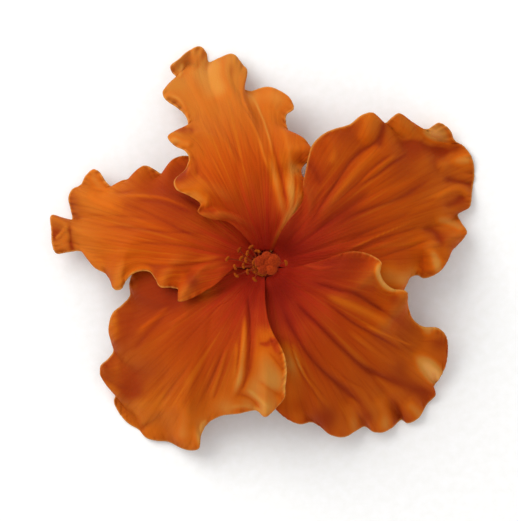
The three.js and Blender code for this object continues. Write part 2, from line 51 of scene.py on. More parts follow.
# ---------------------------------------------------------------- petal dimensions
# The middle surface of a petal follows the solids' rules: a narrow claw, a trumpet that all petals
# share, and a limb that droops. The claws are a little wider here, and the broad grooves shallower.
PETAL_STEP, FIRST_AZIMUTH = 72, 94               # degrees between petals, and where the top one is
CLAW_RADIUS, CLAW_HALF_ANGLE, CLAW_HEIGHT = 4.8, 32, 10
TRUMPET_RISE, TRUMPET_FLARE = 26, 8              # how high the throat climbs, and how fast it opens
LIMB_START, LIMB_BEND, USUAL_DROOP = 25, 15, 0.75        # where it falls away again, and how steeply
OVERLAP_LIFT, OVERLAP_START = 3.2, 3.5           # one side over its neighbour, the other under it
RUFFLE_SMOOTHING, CLAW_EASE = 7, 2.5             # the margin averaged over 7 mm, less near the claw
SMOOTHING_LIMIT = 3                              # an average runs to so many times its reach
SIDE_DEPTH, TIP_DEPTH = 0.22, 0.12               # how far in from the margin its lobes are felt
VALLEY, VALLEY_LEAN = 0.45, 0.4                  # how far in a ruffle runs, and its lean to the tip
GROOVE_FAN, GROOVE_WIDTH = 1.5, 0.03             # how broad grooves spread, and how wide they are
GROOVE_DEPTH, GROOVE_FULL = 0.4, 0.4             # how deep, and the share of the way out to there
CAD_THICKNESS, RESTING_SOFTNESS = 0.6, 1.0       # how petals settle on what they lie on

# What the finer petals add.
ROWS, COLUMNS = 170, 150
MARGIN_SAMPLES, FOLD_SAMPLES = 10, 12            # between two points of a margin, or of a fold
BODY_THICKNESS, RIM_THICKNESS, RIM_TAPER = 0.5, 0.26, 4.0
FOLD_START, FOLD_END, FOLD_ROUNDING = 0.3, 0.25, 1.5     # the shares over which a fold comes and goes
CREASE_SHARPNESS, RIDGE_SHARPNESS = 1.3, 1.8     # a crease is cut sharper than a ridge is raised
FRILL_HEIGHT, FRILL_DEPTH = 0.4, 0.055           # a crimp along the margin, and how far in it goes
FRILL_WAVES, FRILL_LENGTHS, FRILL_LEVEL = 6, (1.6, 4.6), 2.6     # waves added up, then levelled
FRILL_FROM, FRILL_GROWS = 18, 12                 # no crimp in the throat, full crimp farther out
VEIN_HEIGHT, VEIN_COUNT = 0.03, 26               # raised veins, 2.3 mm apart where a petal is widest
VEIN_SWAY, VEIN_UNEVEN = (1.2, 4), (0.8, 40)     # how veins wander, and how their spacing varies
VEIN_GROWS = 0.25                                # the share of the way out at which they are full
NARROWEST_FAN = 12                               # half the least angle that the fan of veins fills
GOLD_FROM, GOLD_GROWS = 30, 45                   # where the limb's own yellow or red begins
RELIEF_CELLS = 9                                 # cells over which a petal counts as smooth

# The petals, counter-clockwise from the top one. Lengths are in mm and places are (x, y).
# droop    how far the limb falls for each mm outwards
# frill    how far the margin rises for each mm that it swings outside its smooth line
# arch     how far the middle bulges up
# grooves  where broad grooves run, across a fan from -0.5 to 0.5
# flush    how far the throat's crimson reaches, and how much of it there is on the axis
# golden   how yellow the limb turns outwards, or how red where it is below nothing
# shade    tone of the whole petal, painted light and shade that sets how bright it looks. Tone is
#          painted light and shade: how much paler the flesh is painted, or deeper below nothing
# painted_light_spots  soft spots of painted highlight and painted shadow: (tone, spread, place)
# under    the margin out from the claw, along the side that lies under the neighbouring petal
# tip      the margin across the tip, counter-clockwise
# over     the margin back in to the claw, along the side that lies over the neighbouring petal.
#          All three are lists of places, or of (x, y, lift) where the margin curls up, or
#          down below nothing
# folds    (height, tone, half width, places): ridges, or creases where the height is below nothing.
#          Their tone is painted highlight along ridges and painted shade in creases
TOP_PETAL = {
    "name": "petal_top", "droop": 0.93, "frill": 0.8, "arch": 1,
    "grooves": [-0.2, 0.05, 0.25], "flush": (19, 0.55), "golden": 0.7, "shade": 0.05,
    "painted_light_spots": [
        (0.3, 8, (-1, 56)), (0.3, 8, (2, 44)), (-0.3, 5, (0, 12)), (0.6, 5, (-24, 68)), (0.4, 9, (-24, 62)),
        (2.2, 0.5, (2.2, 4.5)), (0.5, 3, (-20.5, 71)), (0.4, 4, (-31, 60)), (-0.7, 4, (-11.6, 69.5)),
        (1.0, 4.5, (-16.5, 70)), (0.6, 4.5, (-15.5, 62)), (-0.5, 4, (-30, 63)), (0.6, 3, (-32, 44)),
        (0.5, 4, (3, 60)), (0.8, 3.5, (9.8, 26)), (0.25, 3, (4.5, 10)), (-0.3, 3, (5, 50)),
        (0.5, 3, (5, 36)), (1.0, 3, (-31, 70)), (0.5, 4, (6, 57)), (0.9, 3, (12, 41)), (0.4, 5, (8, 20)),
        (0.9, 4.5, (-5.5, 59)), (-1.1, 4, (-29, 31)), (1.0, 3, (11, 33)), (0.4, 4, (5, 30)),
        (-0.4, 3, (11, 26.6)), (0.45, 4, (-4, 9)), (-0.45, 3, (-28, 45)), (0.4, 3, (-23, 26.6)),
        (0.4, 4, (6, 8)),
    ],
    "under": [
        (6.3, 9.2), (9.5, 13), (13, 18), (15, 23), (14.8, 28), (12.9, 31), (12.9, 33.3), (15.2, 36),
        (16.8, 38.8), (15.6, 41.2), (13, 44.2), (10, 45.2), (8.2, 46.8), (7.3, 50), (7.6, 52.3),
        (10.1, 54.4), (8.6, 58.3),
    ],
    "tip": [
        (5, 61), (1.2, 62.3), (-2, 61.8), (-5, 60.9), (-7.6, 61.9), (-9.1, 64.2), (-6.3, 68.1),
        (-8.2, 70.8), (-10.6, 73.8), (-12.2, 74.3), (-16, 73), (-20, 71.6), (-20.8, 74.8), (-23, 77, 1),
        (-27.5, 75, 2), (-30.5, 72.2, 3),
    ],
    "over": [
        (-33.3, 70, 2), (-32.8, 67.6), (-31.3, 65.8), (-33.8, 63.6), (-36, 60.3), (-35, 57.8), (-31, 55),
        (-28, 52.2), (-27, 49), (-28.6, 46.8), (-34, 44.5), (-31.5, 41.2), (-28, 39.4, 1.5), (-26.5, 37, 2),
        (-27.6, 33, 1), (-31.6, 28.6), (-30.8, 25.9), (-26, 23.5), (-22.3, 20.7), (-23.2, 18), (-19, 15.6),
        (-13.5, 14.8), (-9.5, 12), (-6, 8.3),
    ],
    "folds": [
        (0.25, 0.9, 0.45, [(3.2, 35), (2.4, 38.8), (1.6, 43), (0.6, 46.3), (-0.4, 49.6), (-1.5, 52.4),
            (-3.1, 56.2), (-6, 61)]),
        (-0.3, -0.5, 0.6, [(-1, 42), (-2.6, 46.4), (-4, 49.3), (-5.6, 52.1), (-7.3, 54.6), (-10.5, 59.5)]),
        (0.25, 0.6, 0.5, [(1.6, 31), (0.5, 34.7), (-0.4, 37.4), (-1.7, 42.1), (-3.4, 46.8), (-5.3, 50.4),
            (-9, 57)]),
        (-0.5, -1.1, 0.7, [(7.8, 17), (7.4, 22.2), (6.8, 25), (6.2, 28.4), (4.9, 33.8), (4, 37.4),
            (3, 41.3), (0.4, 50)]),
        (0.3, 0.45, 1.2, [(9.6, 26), (8.9, 34), (8, 41), (5.5, 49.5), (3, 58)]),
        (0.4, 0.75, 2.0, [(3.4, 7), (6.6, 12.5), (9, 17.4), (9.7, 22), (9.2, 27), (8.6, 33)]),
        (0.2, 0.7, 0.6, [(6, 12), (8.8, 16.4), (11, 20), (12.2, 23.6), (11.8, 28)]),
        (0.15, 0.8, 0.8, [(1.2, 2.6), (2.2, 5.2), (3.5, 8.2), (4.8, 11), (6.8, 15), (8.6, 20)]),
        (-0.2, -0.7, 0.4, [(9.6, 18.5), (10.4, 23), (10.6, 27.2), (10.2, 33)]),
        (-0.15, -0.5, 0.3, [(10.6, 18.5), (12, 23), (12.3, 28)]),
        (0.3, 0.6, 1.2, [(6.6, 14), (6, 18.1), (5.4, 21.4), (4.6, 24.5), (3.8, 27.8), (3, 31.4), (2, 35.2),
            (0.8, 39)]),
        (-0.4, -0.3, 2.2, [(-0.5, 8), (0.6, 16), (0, 22), (-2, 29), (-6, 38), (-10, 47)]),
        (-0.4, -0.5, 1.8, [(11, 44), (12.4, 41), (12.8, 37.6), (12.4, 33)]),
        (-0.35, -0.5, 0.6, [(-1.6, 32), (-3.2, 36.6), (-5.2, 41.2), (-6.6, 45.3), (-8.4, 49), (-12, 56)]),
        (-0.35, -0.5, 0.6, [(-6, 31.4), (-7.4, 34.4), (-9.5, 38), (-11.2, 40.9), (-15.3, 49), (-19, 57)]),
        (-0.3, -0.4, 0.6, [(-12, 25), (-16, 30.6), (-20.5, 37.8), (-24.5, 43)]),
        (0.25, 0.3, 0.7, [(-8, 31), (-12.6, 40), (-18, 49), (-22, 57)]),
        (0.4, 0.5, 2.8, [(-14.5, 56), (-17, 63), (-19.4, 69), (-20.6, 75)]),
        (0.2, 0.4, 2.6, [(-18, 52), (-20.4, 60), (-22, 66), (-23, 70)]),
        (-0.8, -0.6, 1.3, [(-6, 55), (-9, 60), (-11.6, 65), (-12.2, 72)]),
        (0.5, 0.3, 1.4, [(-7.4, 63), (-9, 68), (-11, 74)]),
        (0.9, 0.9, 0.9, [(-37, 59.4), (-33, 59), (-30, 57.4), (-28, 54), (-27, 50), (-26.6, 45)]),
        (-1.6, -1.0, 1.2, [(-35, 57.6), (-31.4, 56.6), (-29, 53.6), (-27.8, 50)]),
        (-1.0, -0.9, 1.7, [(-35, 45.6), (-30, 46.4), (-26.4, 47), (-24, 45)]),
        (1.0, 0.9, 1.7, [(-34, 43.8), (-29, 42.4), (-25, 41)]),
        (0.4, 0.6, 0.6, [(-29.6, 38.8), (-26.8, 37), (-26.4, 33), (-27.6, 30)]),
        (-1.2, -0.6, 1.4, [(-25.6, 39), (-23.6, 34), (-23.4, 29)]),
        (-1.0, -0.7, 1.4, [(-33, 28.6), (-29.6, 30.4), (-27.6, 33), (-26.6, 36)]),
        (1.2, 0.8, 2.2, [(-31, 25), (-27.4, 24.6), (-23, 22.8), (-19.6, 19)]),
        (0.3, 0.2, 0.9, [(-19.6, 25), (-20.2, 22), (-20.4, 18.6)]),
        (-0.7, -0.7, 1.3, [(-23.6, 19), (-20.4, 18.2), (-16, 17.6)]),
        (-0.4, -0.8, 1.2, [(-30, 70.4), (-27.6, 70.8), (-25, 70.2), (-23, 69)]),
        (0.4, 0.9, 1.8, [(-32, 70.5), (-28.5, 73.6), (-24.5, 75), (-21, 75)]),
        (0.5, 1.0, 0.6, [(-30.4, 64.5), (-29.7, 68), (-29.2, 71.5)]),
    ],
}
LEFT_PETAL = {
    "name": "petal_left", "droop": 0.93, "frill": 0.8, "arch": 1,
    "grooves": [-0.2, 0.05, 0.25], "flush": (18, 0.5), "golden": 0.35, "shade": -0.2,
    "painted_light_spots": [
        (-1.2, 5, (-29, 31)), (-0.6, 8, (-41, 27)), (-0.5, 7, (-25, 21)), (-0.4, 6, (-34, 24)),
        (-0.4, 7, (-32, 17)), (-1.1, 5, (-74, 9)), (0.5, 5, (-9, 9)), (0.3, 6, (-62, 28)),
        (0.5, 5, (-20, 1)), (-0.3, 5, (-60, 23)), (-0.3, 8, (-48, 18)), (0.3, 3, (-31, -4)),
        (0.3, 3, (-67, 17)), (-0.3, 5, (-52, -6)), (-0.2, 7, (-38, 8)), (0.2, 5, (-12, -1)),
        (-1.0, 4, (-38.6, -4)), (-0.4, 3, (-67, 22)), (-0.8, 2.5, (-25, -6.4)), (0.6, 2.5, (-36, -5)),
        (0.35, 4, (-8, 3.5)), (0.3, 3, (-17, 0)),
    ],
    "under": [
        (-5.3, 8.6), (-8, 13.8), (-12, 20), (-16, 26.5), (-20, 32, -1), (-23.2, 36, -2.5),
        (-26.8, 37.7, -3), (-30.5, 37.4, -2), (-33.2, 35.6), (-34.6, 32.8), (-36.3, 31.7), (-39, 33.3),
        (-42, 34.5), (-44.6, 33.2), (-47.3, 30.2), (-50.5, 29.2), (-53.5, 27.1), (-56, 28.9), (-58.2, 32.2),
        (-60.3, 33.4),
    ],
    "tip": [
        (-63.3, 31.3), (-65.2, 28), (-68.2, 26.3), (-69.5, 23.4), (-68.8, 19.5), (-68.4, 15.7),
        (-71.5, 16.3, 1), (-75.4, 17.1, 3), (-75.4, 12, 4), (-74.9, 6.5, 4),
    ],
    "over": [
        (-73.3, 3.7, 2), (-69, 4.2), (-64.6, 4.4), (-62.2, 1.6), (-59.5, -1.4), (-55.6, -3.6),
        (-53.9, -6.1), (-52.6, -8.8), (-50.2, -8.9), (-48.6, -6.2), (-46.5, -3.8), (-43.5, -2.5),
        (-40, -2.8), (-38, -5.2), (-36.3, -8), (-32.5, -8.2), (-29.4, -9.3), (-30, -12.9), (-26, -12.1),
        (-21.5, -9.8), (-17, -7), (-12.9, -3.1), (-9.8, -1),
    ],
    "folds": [
        (0.35, 0.7, 0.5, [(-22, 17.6), (-30, 20.9), (-34.6, 22.6), (-39.9, 23.5), (-45.2, 23.8),
            (-54, 23.6)]),
        (-0.4, -0.7, 0.9, [(-20, 18.6), (-25, 21.6), (-31, 24.8), (-38, 27)]),
        (-0.4, -0.5, 0.6, [(-24, 17), (-31, 19.8), (-38, 21.6), (-46, 22.2)]),
        (-0.3, -0.4, 0.6, [(-44, 26), (-50, 25), (-57, 25.4), (-63, 26)]),
        (-0.35, -0.5, 0.6, [(-20, 7.6), (-27.7, 11), (-34, 14.3), (-43.4, 18.9), (-54, 22.6)]),
        (-0.3, -0.4, 0.6, [(-36, 15), (-45, 16.2), (-54, 16.9), (-66, 17)]),
        (-0.35, -0.6, 0.6, [(-16, 9), (-24, 10.6), (-34.6, 11), (-40.7, 11.7), (-46.7, 12.5), (-52, 12.9),
            (-60, 12.2)]),
        (-0.35, -0.5, 0.6, [(-15, 3), (-22.5, 5.1), (-30.3, 6.4), (-39.5, 7.1), (-50, 6.3)]),
        (-0.35, -0.6, 0.6, [(-12, 2.4), (-18, 0.9), (-24, -0.1), (-34.2, -0.8), (-46, 0)]),
        (0.35, 0.4, 0.7, [(-14, 3), (-23.8, 1.1), (-33, 0.6), (-46, 0.8)]),
        (0.25, 0.3, 0.8, [(-24, 8.2), (-34, 11.4), (-44, 15), (-54, 19.4)]),
        (0.5, 1.0, 2.8, [(-49, 18.6), (-55, 20.6), (-60, 22.6), (-63, 27)]),
        (0.4, 1.0, 2.2, [(-52, 24), (-57, 26.4), (-60, 30), (-60.4, 36)]),
        (-0.6, -0.4, 1.8, [(-64, 13), (-67.4, 18), (-68.4, 24), (-66, 28)]),
        (0.8, 0.7, 0.9, [(-53, -9), (-48.6, -5.4), (-45.8, -2.9), (-43.3, -1.7), (-40, -2), (-37, -5)]),
        (0.7, 0.4, 1.6, [(-48, 2), (-50.4, -3), (-51.6, -10)]),
        (-0.7, -0.4, 1.2, [(-57, -0.5), (-54.8, -4), (-53.8, -8)]),
        (-1.0, -1.2, 0.7, [(-68.8, 15.5), (-68.4, 10), (-68.2, 7), (-67, 3.4)]),
        (0.5, 1.6, 0.5, [(-69.6, 13.6), (-70.8, 11.8), (-72.6, 9.8), (-74, 8.6)]),
        (0.4, 1.3, 1.6, [(-77, 6), (-73, 7), (-70, 9), (-69.6, 12)]),
        (-0.3, -0.4, 1.6, [(-22, -2), (-29, -4.4), (-36, -5.4)]),
        (0.4, 0.5, 1.0, [(-28, -2), (-28.4, -6.4), (-29.6, -12)]),
        (-0.5, -0.9, 1.1, [(-34, -7.6), (-31.6, -8.6), (-30.4, -12)]),
    ],
}
LOWER_LEFT_PETAL = {
    "name": "petal_lower_left", "droop": 0.955, "frill": 1.0, "arch": 2,
    "grooves": [-0.2, 0.05, 0.3], "flush": (32, 0.75), "golden": 0.15, "shade": -0.1,
    "painted_light_spots": [
        (-0.7, 8, (-40, -12)), (-0.6, 10, (-45, -23)), (-0.8, 6, (-56, -34)), (-0.7, 6, (-45, -40)),
        (-0.3, 8, (-26, -26)), (1.1, 6, (2, -39)), (0.6, 4, (4, -42)), (0.4, 3, (-3.5, -42)),
        (0.2, 4, (-3, -49)), (0.3, 5, (-20, -52)), (0.5, 5, (0, -32)), (1.0, 4, (-5, -47)),
        (0.8, 4, (3, -49)), (0.7, 3, (-0.5, -51.5)), (0.3, 4, (-2, -24)), (0.7, 6, (-15, -48)),
        (0.9, 5, (-23.5, -57)), (0.5, 6, (-42, -58)), (0.3, 4, (-28, -61)), (-0.6, 3, (-32, -11)),
        (0.7, 5, (-9, -40)), (-0.4, 6, (-38, -36)), (-0.4, 5, (-31, -48)), (-0.5, 3, (-56, -37.5)),
        (-0.3, 3, (-52.5, -26)), (-0.7, 5, (-53, -18)), (-0.9, 5, (-47, -46)), (-0.4, 4, (-50, -39)),
        (1.0, 4, (-21, -9)), (0.2, 4, (-14, -7)), (-0.5, 4, (-3.5, -13)), (0.3, 6, (-10, -30)),
        (0.4, 4, (-36, -59)), (-0.4, 4, (-29.4, -10.5)), (-0.5, 4, (-38, -10)), (0.5, 3, (-24.5, -61)),
        (0.6, 3.5, (-12.6, -51)), (0.4, 3, (0, -51)), (0.5, 3, (2.8, -24.5)),
    ],
    "under": [
        (-8.6, -1.9), (-13, -0.7), (-19, -2.5), (-25, -5), (-31, -4, -1.5), (-37, 0.5, -3.5),
        (-42, 1, -3.5), (-45.8, -2.5, -2), (-47.4, -7), (-47.3, -11), (-50.3, -14.5), (-53.4, -17.2),
        (-55, -23), (-54.2, -27.3), (-53.5, -30.8), (-55.7, -33.8), (-58, -36), (-58, -39.7),
        (-55.6, -42.1), (-53.2, -44), (-52.9, -46.2), (-53.4, -48.8),
    ],
    "tip": [
        (-52, -52.3), (-48.5, -56.5), (-44.7, -58.8), (-42, -61.6), (-38.5, -62.6), (-34, -63),
        (-29.5, -65.1), (-26, -65.8), (-23.3, -65), (-22.6, -60.5), (-20.2, -56.2), (-15.5, -53.3),
        (-9, -52.3), (-3, -51.2), (0, -53.3), (3.4, -50.6),
    ],
    "over": [
        (6.8, -46.2, 1.5), (7, -42.5, 2.5), (7.5, -37, 3), (6.7, -31.5, 3), (4.9, -27.6, 2), (3, -24.4, 1),
        (1.4, -20.5), (0.4, -16), (0, -11.5),
    ],
    "folds": [
        (-1.1, -1.0, 0.8, [(-6, -10), (-5.8, -13), (-5.2, -20), (-5, -27), (-5.4, -34), (-6.4, -39),
            (-8, -43), (-11, -48)]),
        (0.6, 0.8, 0.9, [(-6.8, -13), (-7, -20), (-7.4, -27), (-8, -34), (-9, -40.4), (-11.6, -47)]),
        (-0.2, -0.4, 0.4, [(-8.2, -22), (-8.8, -29), (-9.4, -35), (-10.4, -42)]),
        (0.2, 0.4, 0.6, [(-9.6, -26), (-10, -33), (-10.8, -40)]),
        (0.5, 0.2, 3.6, [(-2.5, -16), (-1.5, -24), (0, -32), (1, -38), (0, -46), (-1, -53)]),
        (-0.35, -1.1, 0.6, [(-2.4, -27.4), (0.6, -27.8), (2.4, -26.8), (6.2, -26.6)]),
        (-0.25, -0.8, 0.5, [(1.6, -25), (3, -27.8), (4.8, -31)]),
        (0.2, 1.3, 0.6, [(4.2, -25), (6.6, -31.5), (7.4, -37), (7, -42.5), (6.6, -47)]),
        (0.4, 0.6, 0.6, [(-6.6, -43), (-3.6, -45.4), (-1, -47.8), (1.6, -50.6)]),
        (-0.6, -0.8, 0.9, [(-11, -45), (-6.4, -46), (-3.6, -48), (-1, -51.4)]),
        (-0.3, -0.35, 0.5, [(1, -30), (4, -33.6), (7, -37.4)]),
        (-0.5, -0.5, 1.0, [(-3, -39.6), (0, -42), (3, -44.2), (7, -46.6)]),
        (0.3, 0.5, 0.9, [(-13, -50), (-6, -49.6), (0, -52.6)]),
        (-0.5, -0.9, 0.8, [(-9.6, -20), (-12.2, -26), (-15, -31.8), (-17.4, -37.6), (-19.6, -42.8),
            (-22.6, -50)]),
        (-0.3, -0.5, 0.5, [(-12, -29), (-14.2, -37), (-16.8, -44.4), (-18.4, -48)]),
        (0.4, 0.6, 0.7, [(-11.4, -24), (-13.6, -30), (-15.4, -36.4), (-17.4, -41.8), (-20.4, -48.6)]),
        (-0.4, -0.5, 0.7, [(-24, -30), (-28.4, -37.6), (-31.4, -41.8), (-34.6, -46.6), (-37.2, -51)]),
        (-0.3, -0.25, 0.9, [(-20, -34), (-23.6, -42), (-28, -50)]),
        (0.3, 0.4, 1.6, [(-24, -37), (-28, -45), (-32, -53)]),
        (0.4, 0.8, 0.7, [(-33, -14.4), (-36, -17), (-40.4, -20.6), (-46, -25.4)]),
        (0.4, 0.4, 0.7, [(-25, -15.8), (-29, -19), (-33.6, -22.6)]),
        (-0.3, -0.5, 0.8, [(-34, -17.6), (-38, -21.4), (-42, -25.4), (-46.6, -31)]),
        (-0.4, -0.2, 2.5, [(-20, -18), (-27, -27), (-33, -35)]),
        (-0.8, -0.45, 1.7, [(-60, -38.5), (-55, -41.2), (-50.6, -43.8), (-41, -46)]),
        (-0.5, -0.3, 3.0, [(-44, -14), (-48, -24), (-49, -34)]),
        (0.8, 1.0, 1.6, [(-54, -14), (-53, -20), (-53, -28)]),
        (0.9, 0.3, 2.2, [(-50, -36), (-54, -37), (-59, -37.4)]),
        (0.9, 1.0, 0.8, [(-20.6, -54), (-22.8, -59), (-23.2, -67)]),
        (-0.8, -0.5, 1.4, [(-26, -54), (-25.6, -60), (-25.6, -65)]),
        (0.7, 0.5, 3.6, [(-50, -48), (-42, -51), (-33, -50), (-25, -46)]),
        (0.5, 0.6, 2.2, [(-28, -48), (-29, -56), (-30, -64)]),
        (-0.9, -0.9, 0.9, [(-35, -51.4), (-38.6, -54.6), (-42, -57), (-46, -59)]),
        (-0.3, -1.0, 4.0, [(-27, -10), (-33, -11.6), (-40, -8), (-46, -6)]),
    ],
}
LOWER_RIGHT_PETAL = {
    "name": "petal_lower_right", "droop": 0.975, "frill": 1.5, "arch": 0,
    "grooves": [-0.3, -0.1, 0.08, 0.25], "flush": (32, 0.85), "golden": -0.5, "shade": -0.1,
    "painted_light_spots": [
        (0.6, 6, (9, -45)), (-0.9, 5, (21, -55)), (-1.0, 3.5, (36.5, -54)), (-0.5, 6, (30, -3)),
        (-0.5, 7, (20, -4)), (-0.9, 6, (5.5, -11)), (-0.4, 4, (11, -19)), (-0.4, 4, (5, -20)),
        (0.8, 4, (8, -30)), (0.7, 4.5, (11, -37)), (0.5, 5, (42, -6)), (1.5, 4, (57, -36)),
        (2.0, 3, (60, -40)), (-0.4, 6, (38, -38)), (-0.9, 3, (45, -12)), (-0.6, 5, (49, -34)),
        (0.6, 4, (32, -56)), (-0.4, 4, (22, -52)), (1.6, 3, (57.4, -23.2)), (0.7, 4, (42, -56)),
        (0.3, 4, (46, -47)), (-0.4, 4, (60, -29)), (0.5, 5, (41, -45)), (-0.5, 4, (48, -53)),
        (-0.3, 5, (28, -42)), (-0.6, 2, (39.5, 1.5)), (0.4, 4, (55, -28)), (0.6, 3, (12, -54)),
        (0.6, 3, (9, -34.5)),
    ],
    "under": [
        (-1, -9.9), (-2.2, -16), (-2.5, -23), (-1.5, -30), (0, -37), (1, -43), (1.8, -48), (4.2, -51.2),
    ],
    "tip": [
        (8, -54.5), (12.6, -56.3), (16.3, -55.7), (19.5, -57.3), (23, -60.1), (28, -61), (32, -59),
        (35.4, -57.5), (38.3, -59.3), (41.5, -59.5), (45, -57.9), (48.4, -55.3), (50.6, -56.4),
        (54.4, -54.4), (57.3, -49.8), (60.4, -46.2), (59.5, -44.2), (62, -40), (63.8, -35.8),
    ],
    "over": [
        (64.4, -30), (63.6, -25.2), (60.5, -22.4), (55.5, -22), (51.8, -19.2), (49.8, -14),
        (49.2, -9.6, 1.5), (44.2, -8.5, 3), (41, -5.8, 4), (39.6, -2, 4), (40.2, 0.5, 2), (36.5, 3.2),
        (31, 4.4), (25.5, 3.4), (20, 1.3), (15, 0), (10.5, -1.2),
    ],
    "folds": [
        (-1.1, -1.5, 0.9, [(10, -12.5), (13.1, -16), (19.9, -22.4), (26.6, -29.2), (34.2, -36), (40.2, -39),
            (50, -44)]),
        (-1.1, -1.3, 1.0, [(4, -11), (7.2, -18), (10.2, -24), (14.6, -31), (19.4, -36.6), (24.4, -41),
            (29.6, -45.4), (33.6, -49.4), (36, -57)]),
        (-0.6, -1.4, 0.7, [(19, -12), (25, -16.2), (30, -20), (34.6, -22.8), (41, -26.2), (51, -32)]),
        (-0.3, -0.5, 0.5, [(27, -16.6), (34.8, -19.9), (41, -22.8), (46, -25.4)]),
        (0.4, 0.9, 0.5, [(31, -19.6), (37.6, -22.6), (43, -25), (48.4, -27.4), (53, -29)]),
        (0.4, 0.5, 1.2, [(26, -20.6), (34, -27), (40.4, -31.8), (47, -35.6)]),
        (-0.9, -1.2, 1.0, [(13, -5.2), (19.9, -7.4), (26, -9.2), (31, -10.2), (37, -13.8), (41.4, -16.6),
            (50, -23)]),
        (-0.1, -0.6, 0.5, [(27, -9.4), (32, -10.8), (37.2, -14), (42.4, -17.4)]),
        (0.7, 0.75, 2.0, [(17, -8.2), (24, -11.8), (30.4, -14.6), (40.2, -19.2), (48, -23.4)]),
        (-0.4, -0.8, 0.6, [(7.4, -22), (9, -27.6), (11, -34.6), (14.4, -41), (18.4, -46.6), (22, -52)]),
        (-0.3, -0.7, 0.45, [(11.2, -32), (14.8, -38.6), (18.4, -43.2), (22.6, -49)]),
        (0.3, 0.7, 0.5, [(8.6, -25), (10.2, -31), (12.8, -37), (16.4, -42.6), (21, -49)]),
        (0.3, 0.3, 0.8, [(14, -26), (20, -33), (27, -40), (33, -44)]),
        (-0.3, -0.4, 0.5, [(16, -27), (22, -34), (29, -40.5), (36, -44)]),
        (1.6, 1.0, 3.0, [(46, -29), (55, -34.5), (60, -38.5), (68, -44)]),
        (-1.2, -1.0, 3.6, [(40, -38.5), (48, -42), (54, -44.6), (62, -46)]),
        (0.9, 1.3, 2.8, [(49, -48), (53, -51.6), (57, -56)]),
        (-0.8, -0.6, 1.4, [(45, -45), (47, -51), (48.4, -58)]),
        (0.8, 0.6, 3.2, [(38.6, -46), (41.8, -53), (43, -61)]),
        (0.8, 0.6, 3.2, [(27.6, -47), (31, -54), (31, -63)]),
        (-0.5, -0.6, 3.4, [(43, -14), (47, -19), (54, -25), (62, -27.5), (66, -28)]),
        (0.8, 1.9, 1.1, [(42.4, 3.4), (39.6, 0.2), (39.2, -3.6), (41.6, -7.2), (45, -9.2), (51, -10.2)]),
        (0.2, 1.1, 0.6, [(49, -8), (49.6, -14), (51.8, -19.4), (55.5, -22.2), (60.8, -22.8), (65, -27)]),
        (0.5, 0.5, 0.5, [(12, 0), (18, -1.5), (25, -0.9)]),
        (0.2, 0.6, 0.5, [(18, 0.6), (25, 3.2), (31, 4.2), (36.5, 3.2), (40, 1)]),
        (-0.5, -0.8, 3.0, [(18, -2), (24, 0.6), (31, 1.4), (38, 0)]),
    ],
}
